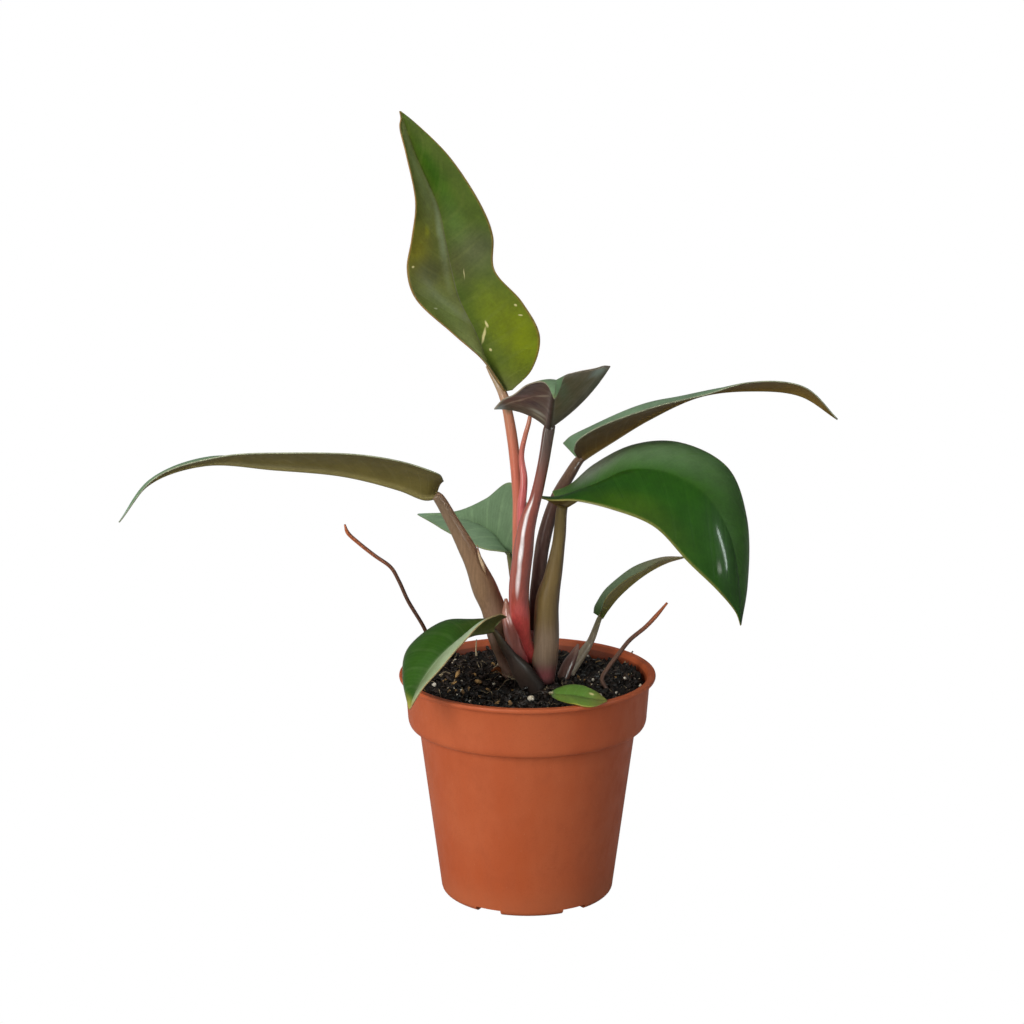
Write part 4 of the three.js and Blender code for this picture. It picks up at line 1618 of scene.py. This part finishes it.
# A new leaf's underside, still plum and bronze; its pale grey and blue-grey patches and the pale lines along
# its folds are painted reflections.
PLUM_BACK = LeafFinish(
    "plum_leaf_back", "6a5e46", "604c44", "54483c", "504a40", "43332f", "8a7c68", "9a8a74",
    vein_count=6, vein_strength=0.2, midrib_width=0.1, roughness=0.42, coat=0.12, mottle=0.12,
    patches=(
        Patch(-0.35, 0.5, 0.25, 0.5, "66765e", 0.8),
        # Painted reflections, pale grey and blue-grey.
        Patch(-0.92, 0.48, 0.3, 0.35, "887c6c", 0.8),
        Patch(-0.97, 0.17, 0.2, 0.16, "a4b4ac", 0.85),
        Patch(0.3, 0.5, 0.4, 0.12, "6c6048", 0.6),
        Patch(0.5, 0.2, 0.45, 0.08, "3f3036", 0.8),
        # Painted reflections: pale lines along the folds and pale streaks near the foot.
        Patch(0.76, 0.18, 0.3, 0.03, "a89884", 0.9, slant=0.6),
        Patch(0.34, 0.33, 0.3, 0.022, "a89884", 0.9, slant=0.13),
        Patch(0.32, 0.11, 0.3, 0.035, "a8a494", 0.8),
        Patch(0.28, 0.06, 0.25, 0.025, "949078", 0.8),
        # Painted reflection, blue-grey.
        Patch(0.97, 0.0, 0.15, 0.14, "b4c0c4", 0.9),
    ),
)
# An ageing underside, brownish olive.
ARCHING_BACK = LeafFinish(
    "arching_leaf_back", "705a26", "6e5828", "604a30", "5f4c20", "8a7a50", "8c8058", "8a7a58",
    vein_count=16, vein_strength=0.12, roughness=0.5, coat=0.05, mottle=0.14,
    patches=(
        Patch(0.9, 0.4, 0.3, 0.3, "8a7454", 0.6),
        Patch(0.3, 0.3, 0.4, 0.3, "5c4826", 0.6),
    ),
)
# An olive underside with a broad pale midrib.
LONG_BACK = LeafFinish(
    "long_leaf_back", "6a6030", "68602f", "5f5530", "5c4a20", "7f7548", "857c50", "6f6438",
    vein_count=18, vein_strength=0.12, midrib_width=0.2, roughness=0.5, coat=0.05, mottle=0.14,
    patches=(Patch(0.0, 0.62, 0.35, 0.3, "8f8a6c", 0.6),),
)
# A brown-green underside that shows only by the stalk.
BROAD_BACK = LeafFinish(
    "broad_leaf_back", "6a5f38", "6f6238", "66522f", "5c5a2c", "75663c", "857a50", "5c6420",
    vein_count=14, vein_strength=0.15, roughness=0.45, coat=0.1,
)
# A green underside.
FRONT_BACK = LeafFinish(
    "front_leaf_back", "5c6436", "5c6434", "585c30", "6a6a34", "54582c", "6c7044", "7a7438",
    vein_count=10, vein_strength=0.12, roughness=0.5, coat=0.05, mottle=0.14,
)
# A tender leaf's underside: smooth, green at the stalk and olive beyond.
OLIVE_BACK = LeafFinish(
    "olive_leaf_back", "968c50", "968c4c", "5a6a2c", "9a8462", "7c7448", "7c7448", "7a7438",
    vein_count=10, vein_strength=0.12, roughness=0.5, coat=0.05, mottle=0.06, relief_mm=0.02,
    base_reach=0.4, tip_reach=0.4,
)
# A grey-green underside.
REAR_BACK = LeafFinish(
    "rear_leaf_back", "64745a", "64745a", "66684c", "7a8a70", "86926c", "86926c", "7d8a5c",
    vein_count=9, vein_strength=0.25, roughness=0.5, coat=0.05,
)

# A smooth waxy stalk, pink below and salmon above, where a corky grey ring ends it; two pale patches on its
# window side are painted highlights.
SALMON = StalkFinish(
    "salmon_stalk_skin", "c45a58", "c8705a", "a88462", "9a5038", "c88a70", coat=0.3,
    patches=(
        # Painted highlights on the side towards the window.
        Patch(-0.22, 0.79, 0.09, 0.09, "c8977c", 0.6),
        Patch(-0.16, 0.66, 0.07, 0.1, "cc8c76", 0.5),
        Patch(0.0, 0.93, 2.0, 0.09, "a8957a", 0.9),
        Patch(0.2, 0.83, 0.8, 0.025, "57543c", 0.85),
    ),
)
# A fresh stalk with the glossiest skin; a long pale streak on the side that the window lights is a painted
# highlight.
RED = StalkFinish(
    "red_stalk_skin", "c24a48", "90483a", "57463c", "5c2a26", "b0504a", coat=1.0, coat_roughness=0.04,
    patches=(
        # Painted highlight: the long white streak.
        Patch(-0.3, 0.67, 0.16, 0.08, "f4ecea", 0.95, 0.8),
        Patch(-0.22, 0.6, 0.2, 0.09, "f8f0f0", 1.0, 0.8),
        Patch(-0.17, 0.5, 0.22, 0.1, "f8f2f2", 1.0, 0.8),
        Patch(-0.12, 0.39, 0.2, 0.1, "f4e4e4", 0.9, 0.8),
        Patch(-0.6, 0.5, 0.35, 0.25, "b46a5c", 0.5),
        Patch(0.0, 0.99, 2.5, 0.2, "4c3f38", 0.8),
        Patch(0.0, 0.2, 2.5, 0.12, "d0504c", 0.75),
    ),
)
# A satiny plum-brown stalk.
PLUM = StalkFinish("plum_stalk_skin", "4c3a34", "5c443c", "6c5442", "3a2c28", "8a7468", coat=0.3)
# A dull, nearly black stalk.
DARK = StalkFinish(
    "dark_stalk_skin", "2f2622", "3f332c", "5c5034", "241c18", "5f5248",
    coat=0.05, roughness=0.5,
)
# An olive stalk with a purple foot; its very foot is darkened with painted shade.
OLIVE = StalkFinish(
    "olive_stalk_skin", "6f5c54", "746038", "746438", "54443a", "847250",
    patches=(
        Patch(0.0, 0.22, 2.5, 0.16, "8a745e", 0.8),
        Patch(-0.1, 0.05, 2.0, 0.09, "7c3840", 0.75),
        # Painted shade at the very foot of the stalk.
        Patch(0.0, 0.0, 2.5, 0.05, "3a1c1c", 0.9),
    ),
)
# A thin, dull, greyish-taupe stalk.
OLIVE_GREEN = StalkFinish(
    "green_stalk_skin", "a09480", "aa9c84", "86825c", "7a7060", "c0b8a0",
    coat=0.08, roughness=0.5,
)
# A matte taupe stalk with a red flank.
TAUPE = StalkFinish(
    "taupe_stalk_skin", "85685c", "86694f", "74604c", "84644e", "7a6a50", coat=0.08,
    patches=(
        Patch(0.1, 0.42, 0.9, 0.14, "9a7c68", 0.6),
        Patch(-0.4, 0.3, 0.4, 0.08, "c0a898", 0.5),
        Patch(0.95, 0.42, 0.3, 0.22, "9a5046", 0.8),
    ),
)
# A new leaf still rolled up: smooth, thin-skinned and pink, with pale painted highlights.
SPEAR = StalkFinish(
    "pink_spear_skin", "c05058", "c46260", "a86c50", "a84450", "cc8478", coat=0.4, coat_roughness=0.08,
    patches=(
        # Painted highlights.
        Patch(-0.3, 0.68, 0.14, 0.07, "ecccc2", 0.5),
        Patch(-0.15, 0.92, 0.1, 0.05, "ecc0b0", 0.7),
    ),
)
# A withering sheath: brown-pink and still shiny.
SHEATH = StalkFinish(
    "sheath_skin", "5a4038", "7d5c52", "a88474", "4c342e", "b09484",
    coat=0.7,
)
# A dead sheath: papery rust brown.
DRY_SHEATH = StalkFinish(
    "dry_sheath_skin", "6a3c20", "96582c", "7d4824", "5a3018", "b07040",
    coat=0.1, roughness=0.6,
)
# An aerial root: corky brown, with a fresh reddish tip.
ROOT = StalkFinish(
    "root_skin", "4c3c34", "64483a", "b0623c", "40302a", "7d6658",
    coat=0.05, roughness=0.5, streak=0.03, relief_mm=0.01,
)
# A satiny stalk, red below and green above.
REAR_STALK = StalkFinish("rear_stalk_skin", "8a4c46", "9a5a4e", "6f7a4c", "7a4c40", "b07468", coat=0.2)
# A fresh sheath that clasps the crown: thin, pink and glossy, with pale painted highlights.
PINK_SHEATH = StalkFinish(
    "pink_sheath_skin", "a04850", "a8685c", "a07460", "c04c54", "8a6656", coat=0.8, coat_roughness=0.1,
    patches=(
        # Painted highlights.
        Patch(0.1, 0.72, 0.16, 0.1, "f0dcd8", 0.85),
        Patch(0.3, 0.45, 0.12, 0.2, "d8a098", 0.8),
    ),
)
# A torn scrap of dried sheath: straw-coloured with a red edge.
TORN_SHEATH = StalkFinish("torn_sheath_skin", "8a6a54", "b8a080", "7a4438", "6a4438", "c8b490", coat=0.1)
# The short woody stem: dull purple-brown.
STEM = StalkFinish("stem_skin", "4a3a34", "6a4a44", "8a5854", "3a2a26", "6b564c")


def leaves() -> list[Blade]:
    """List every leaf blade with its shape and finish.

    Returns:
        The blades, each with its name, slot, stations, arch and the finishes of its two faces.
    """
    left, right = Half.LEFT, Half.RIGHT
    return [
        Blade(
            "tall", "tall_leaf", (
                ((-8.5, 6, 208.5), (-9.5, 4, 209.5), (-6.5, 5, 209)),
                ((-15.5, 7, 219), (-17, 1, 221), (1.5, 3, 218)),
                ((-21, 8.5, 232), (-29.5, -1, 233), (4.5, 2, 231.5)),
                ((-27.5, 9.5, 245.5), (-44.5, -1, 247.5), (-2.5, 3, 245)),
                ((-30.5, 9.5, 257.5), (-47.5, 0, 258), (-13.5, 5, 257.5)),
                ((-33, 9, 270), (-45.5, 1, 270.5), (-14, 4.5, 271)),
                ((-35.5, 8.5, 282), (-44, 0, 284.5), (-18, 3, 282)),
                ((-44, 6, 302.5), (-47.5, 1, 303.5), (-31.5, 2, 303)),
                ((-48.5, 4, 316), (-50, 2, 314.5), (-45.5, 3, 316.5)),
                ((-49, 3.5, 317.5), (-49.5, 3, 317.5), (-47.5, 3.5, 318)),
                ((-50, 3, 320),),
            ),
            {left: (-0.06, -0.04), right: (0.02, 0.06)}, TALL_TOP, TALL_BACK, groove=0.06,
        ),
        Blade(
            "young", "young_leaf", (
                ((8, -27, 199.5), (31.5, -26, 224), (-13, -26, 207)),
                ((8.5, -40, 207.5), (28, -42, 226.5), (-10, -40, 213)),
                ((9, -54, 216.5), (22, -56, 227.5), (-6, -54, 217.5)),
                ((9.5, -68, 224.5), (16, -68, 228.5), (-0.5, -68, 224)),
                ((10, -80, 228), (12.5, -80, 229), (4.5, -80, 227.5)),
                ((9.5, -90, 227.5), (11, -89, 227), (7, -89, 227.5)),
                ((9, -98, 224.5),),
            ),
            {left: (-0.06, 0.05), right: (0.12, 0.05)}, YOUNG_TOP, PLUM_BACK,
        ),
        Blade(
            "arching", "folded_leaf", (
                ((21.5, 24, 176), (15, 36, 181), (19, 12, 182.5)),
                ((25, 24, 178.5), (19, 42, 183), (20.5, 4, 189)),
                ((34, 23, 184.5), (29, 45, 187.5), (30, 2, 195)),
                ((49.5, 21, 194.5), (50.5, 42, 197), (48.5, 2, 202)),
                ((70, 18, 204.5), (71.5, 34, 202.5), (70, 4, 207)),
                ((90, 14, 207.5), (90.5, 22, 208.5), (88, 2, 212.5)),
                ((110, 10, 206), (110.5, 16, 208.5), (110.5, 4, 210.5)),
                ((125, 8, 196.5),),
            ),
            {left: (0.05, 0.05), right: (0.1, 0.05)}, PALE_TOP, ARCHING_BACK,
        ),
        Blade(
            "broad", "glossy_leaf", (
                ((13, -11, 164), (10, 2, 168), (1.5, -15, 170.5)),
                ((18.5, -12, 167.5), (17.5, 10, 169), (8.5, -24, 170.5)),
                ((27, -13, 173.5), (26.5, 15, 176), (18.5, -30, 171.5)),
                ((39, -16, 180.5), (43, 12, 185), (32.5, -35, 169.5)),
                ((54, -22, 181), (60.5, 6, 187.5), (49, -40, 163.5)),
                ((69, -30, 174), (79.5, -6, 179.5), (62, -44, 150.5)),
                ((78.5, -36, 159), (86.5, -20, 162), (73.5, -46, 139.5)),
                ((82.5, -40, 138), (86, -32, 138), (81, -43, 130)),
                ((83, -42, 124.5),),
            ),
            {left: (0.04, 0.1), right: (0.12, 0.06)}, GLOSSY_TOP, BROAD_BACK, groove=0.06,
        ),
        Blade(
            "long", "folded_leaf", (
                ((-36.5, -6, 168), (-33.5, -15, 176), (-36.8, 6, 170)),
                ((-41, -7, 167.5), (-35.5, -25, 181), (-40, 14, 171)),
                ((-51, -8, 171.5), (-45.5, -28, 185.5), (-50, 16, 174.5)),
                ((-73, -10, 177.5), (-68.5, -28, 189.5), (-73.5, 10, 178)),
                ((-100.5, -12, 180.5), (-97, -26, 189.5), (-102, 6, 180.5)),
                ((-128, -14, 182.5), (-123, -22, 187), (-128, -2, 183)),
                ((-150, -15, 175), (-147, -18, 178), (-150.5, -10, 175.5)),
                ((-162.5, -16, 159.5),),
            ),
            {left: (0.1, 0.05), right: (0.05, 0.05)}, PALE_TOP, LONG_BACK,
        ),
        Blade(
            "front", "glossy_leaf", (
                ((-14, -20, 116.5), (-8.5, -25, 123), (-11, -14.5, 118)),
                ((-17, -23, 116.5), (-11.5, -33, 126), (-15.5, -12.5, 118.5)),
                ((-21.5, -28, 117), (-17, -40, 125.5), (-21.5, -12, 118)),
                ((-27.5, -35, 116), (-25, -46, 119), (-33.5, -16, 118.5)),
                ((-36, -45, 110.5), (-32.5, -54, 112), (-47, -28, 111.5)),
                ((-43, -53, 101.5), (-40.5, -59, 104), (-49, -42, 103.5)),
                ((-46, -58, 95),),
            ),
            {left: (0.1, 0.05), right: (0.15, 0.15)}, FRONT_TOP, FRONT_BACK,
        ),
        Blade(
            "rear", "bluish_leaf", (
                ((-6.5, 24, 135.5), (-9, 16, 139.5), (-2, 16, 141)),
                ((-9.5, 30, 138), (-16, 22, 139), (1, 20, 154)),
                ((-14.5, 40, 142), (-24.5, 32, 139.5), (-6.5, 36, 164)),
                ((-22.5, 50, 144), (-32, 42, 141), (-17.5, 50, 154)),
                ((-33.5, 60, 144), (-38.5, 54, 142), (-29.5, 60, 146.5)),
                ((-47, 72, 142.5),),
            ),
            {left: (0.08, 0.05), right: (0.08, 0.05)}, REAR_TOP, REAR_BACK,
        ),
        Blade(
            "small", "folded_leaf", (
                ((30.5, 20, 110.5), (28, 27, 110.5), (31, 13, 115)),
                ((32.5, 20, 113.5), (29, 30, 113.5), (32, 8, 121)),
                ((38, 21, 120), (34, 31, 120.5), (36.5, 8, 126.5)),
                ((48, 23, 128), (44.5, 31, 129), (46.5, 12, 132)),
                ((57.5, 24, 133), (56, 28, 134), (56, 19, 135)),
                ((65.5, 25, 135),),
            ),
            {left: (0.08, 0.05), right: (0.08, 0.05)}, SMALL_TOP, OLIVE_BACK,
        ),
        Blade(
            "seedling", "glossy_leaf", (
                ((9.5, -24, 91), (9.5, -22, 91), (10, -27, 90.5)),
                ((13.5, -30, 92.5), (13.5, -25.5, 94), (13.5, -36, 91.5)),
                ((19, -37, 94), (19.5, -31, 96.5), (18.5, -46.5, 93.5)),
                ((25, -41, 94), (26, -37, 96), (25, -48, 93)),
                ((31, -42, 93.5),),
            ),
            {left: (0.1, 0.1), right: (0.1, 0.1)}, SEEDLING_TOP, OLIVE_BACK,
        ),
    ]


def stalks() -> list[Stalk]:
    """List the stem, the leaf stalks, the new leaf, the sheaths and the roots.

    Returns:
        The stalks, each with its name, CAD node, slot, path, radii and finish.
    """
    return [
        Stalk(
            "stem", "stem", "dark_stalk", ((3, 0, 64), (3, 0, 86), (1, 1, 110)),
            (8, 7, 4), STEM,
        ),
        Stalk(
            "stalk_tall", "petiole_tall", "salmon_stalk", (
                (-2, 2, 106), (-3.5, 3, 127), (-4, 3, 147.5), (-4, 4, 164), (-5.5, 5, 184),
                (-8, 5.5, 200), (-9.5, 6.5, 206), (-11.5, 8.5, 210), (-14, 9.5, 214),
                (-16.5, 10, 218),
            ),
            (3.2, 2.6, 2.2, 2.1, 2.2, 2, 1.9, 1.6, 1.1, 0.5), SALMON,
        ),
        Stalk(
            "stalk_young", "petiole_young", "red_stalk", (
                (2.5, -5, 100), (-0.5, -11, 109.5), (-3, -14, 121), (-3.5, -16, 131.5), (-2, -19, 147),
                (0, -23, 161.5), (3, -25, 171.5), (6, -27, 186), (8, -27, 198.5), (8.5, -27.5, 201),
            ),
            (3, 2.2, 4, 4.2, 4, 3.3, 2.4, 2.2, 2.3, 2.1), RED,
        ),
        Stalk(
            "stalk_arching", "petiole_arching", "dark_stalk", (
                (3.5, 4, 105.5), (3.5, 5, 122), (4.5, 7, 131), (6.5, 10, 145.5), (11.5, 15, 161.5),
                (18, 21, 172), (21, 24, 176), (22.5, 24, 177.5),
            ),
            (3, 2.8, 2.8, 2.9, 2.6, 2.3, 2, 1.6), PLUM,
        ),
        Stalk(
            "stalk_broad", "petiole_broad", "olive_stalk", (
                (7, -8, 91), (7, -8, 100), (7.5, -8, 109), (8, -8, 125.5), (10, -9, 135),
                (12.5, -10, 150.5), (13.5, -11, 163), (14, -11.5, 165.5),
            ),
            (4.2, 5.3, 5.3, 4.8, 3.6, 2.6, 2.2, 2), OLIVE,
        ),
        Stalk(
            "stalk_long", "petiole_long", "taupe_stalk", (
                (-1, 0, 86), (-6, 0, 91.5), (-11, 0, 100), (-12.5, -1, 109), (-13.5, -2, 119),
                (-17, -4, 128.5), (-23, -6, 143.5), (-30.5, -6, 158), (-36, -6, 167.5),
                (-37.5, -6.5, 168.5),
            ),
            (3.6, 3.8, 2, 4, 5, 5.2, 3.7, 2.6, 2.2, 1.6), TAUPE,
        ),
        Stalk(
            "stalk_front", "petiole_front", "dark_stalk", (
                (3, -12, 89), (-2.5, -15, 98), (-7, -17, 105), (-10.5, -19, 111), (-13.5, -20, 116),
                (-15, -21, 117),
            ),
            (4.6, 4, 2.2, 1.6, 1.1, 0.8), DARK,
        ),
        Stalk(
            "stalk_rear", "petiole_rear", "olive_stalk", (
                (1.5, 3, 88), (-3, 10, 103.5), (-4, 14, 119.5), (-5.5, 20, 128.5), (-7, 24.5, 135.5),
                (-7.5, 26, 137),
            ),
            (2.8, 2.8, 2.4, 1.9, 1.5, 1), REAR_STALK,
        ),
        Stalk(
            "stalk_small", "petiole_small", "olive_stalk", (
                (15.5, 5, 88), (19, 9, 92.5), (23.5, 14, 97.5), (26.5, 17, 101.5), (30, 20, 110),
                (31, 20, 112),
            ),
            (2.6, 2.3, 1.9, 1.5, 1.1, 0.8), OLIVE_GREEN,
        ),
        Stalk(
            "stalk_seedling", "petiole_seedling", "olive_stalk", (
                (4, -9, 80), (7, -14, 86), (9, -19, 89.5), (10, -25, 91.5),
            ),
            (0.9, 0.8, 0.7, 0.6), OLIVE_GREEN,
        ),
        Stalk(
            "spear", "spear", "pink_spear", (
                (-2, -3, 112), (-2, -3, 141), (-2.5, -2, 161.5), (-1.5, -1, 173.5), (-2.5, 0, 183.5),
                (-1, 0, 191.5), (0.5, 0, 197), (1.5, 0, 204),
            ),
            (2, 2, 1.8, 1.5, 1.1, 1, 0.9, 0.5), SPEAR,
        ),
        Stalk(
            "cataphyll", "cataphyll", "sheath", (
                (12, -2, 86), (14.5, 1, 90), (17, 4, 95), (19.5, 7, 99), (21, 9, 102),
            ),
            (2.4, 2.8, 2.5, 1.6, 0.5), SHEATH,
        ),
        Stalk(
            "cataphyll_dry", "cataphyll_dry", "sheath", (
                (-6, 0, 90), (-10, 0, 93), (-12.5, -2, 95), (-14.5, -4, 94.5),
            ),
            (1.2, 1.2, 0.8, 0.4), DRY_SHEATH,
        ),
        Stalk(
            "sheath_pink", "", "sheath", (
                (-1.5, -7.5, 96), (-4, -7.5, 104), (-6, -6.5, 112), (-8, -5, 119), (-8.8, -4, 125),
            ),
            (2.6, 4, 3.8, 2.6, 0.6), PINK_SHEATH,
        ),
        Stalk(
            "sheath_torn", "", "sheath", (
                (-16.5, -8.5, 136), (-17.8, -9.5, 140), (-19.4, -9.5, 144.5), (-20.2, -9, 148.5),
            ),
            (0.2, 0.8, 0.6, 0.1), TORN_SHEATH,
        ),
        Stalk(
            "root_right", "root_right", "aerial_root", (
                (35.5, -8, 78), (35, -8, 84), (32, -6, 88), (30.5, -3, 91), (33, 0, 94.5),
                (38, 3, 100.5), (42, 5, 105), (48.5, 7, 110), (52.5, 8, 114), (57.5, 10, 119.5),
            ),
            (1, 1, 0.9, 0.9, 0.9, 0.9, 0.9, 0.9, 0.9, 0.5), ROOT,
        ),
        Stalk(
            "root_left", "root_left", "aerial_root", (
                (-37.5, 24, 78), (-38, 24, 87.5), (-40, 20, 97.5), (-42.5, 15, 107), (-49, 8, 121),
                (-52.5, 4, 130.5), (-55.5, 2, 136.5), (-62, 0, 142), (-68, -2, 147.5),
                (-72.5, -4, 152.5), (-73.5, -5, 156),
            ),
            (0.8, 0.8, 0.8, 0.8, 0.8, 0.8, 0.8, 0.8, 0.8, 0.8, 0.4), ROOT,
        ),
    ]


def main() -> None:
    """Build the plant, its pot and the studio, and report each piece."""
    bpy.ops.object.select_all(action="DESELECT")
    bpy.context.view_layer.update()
    pot = NurseryPot()
    pot.build()
    Soil(pot).build()
    for leaf in leaves():
        leaf.build()
    for stalk in stalks():
        stalk.build()
    Studio().build()
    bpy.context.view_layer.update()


if __name__ == "__main__":
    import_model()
    main()
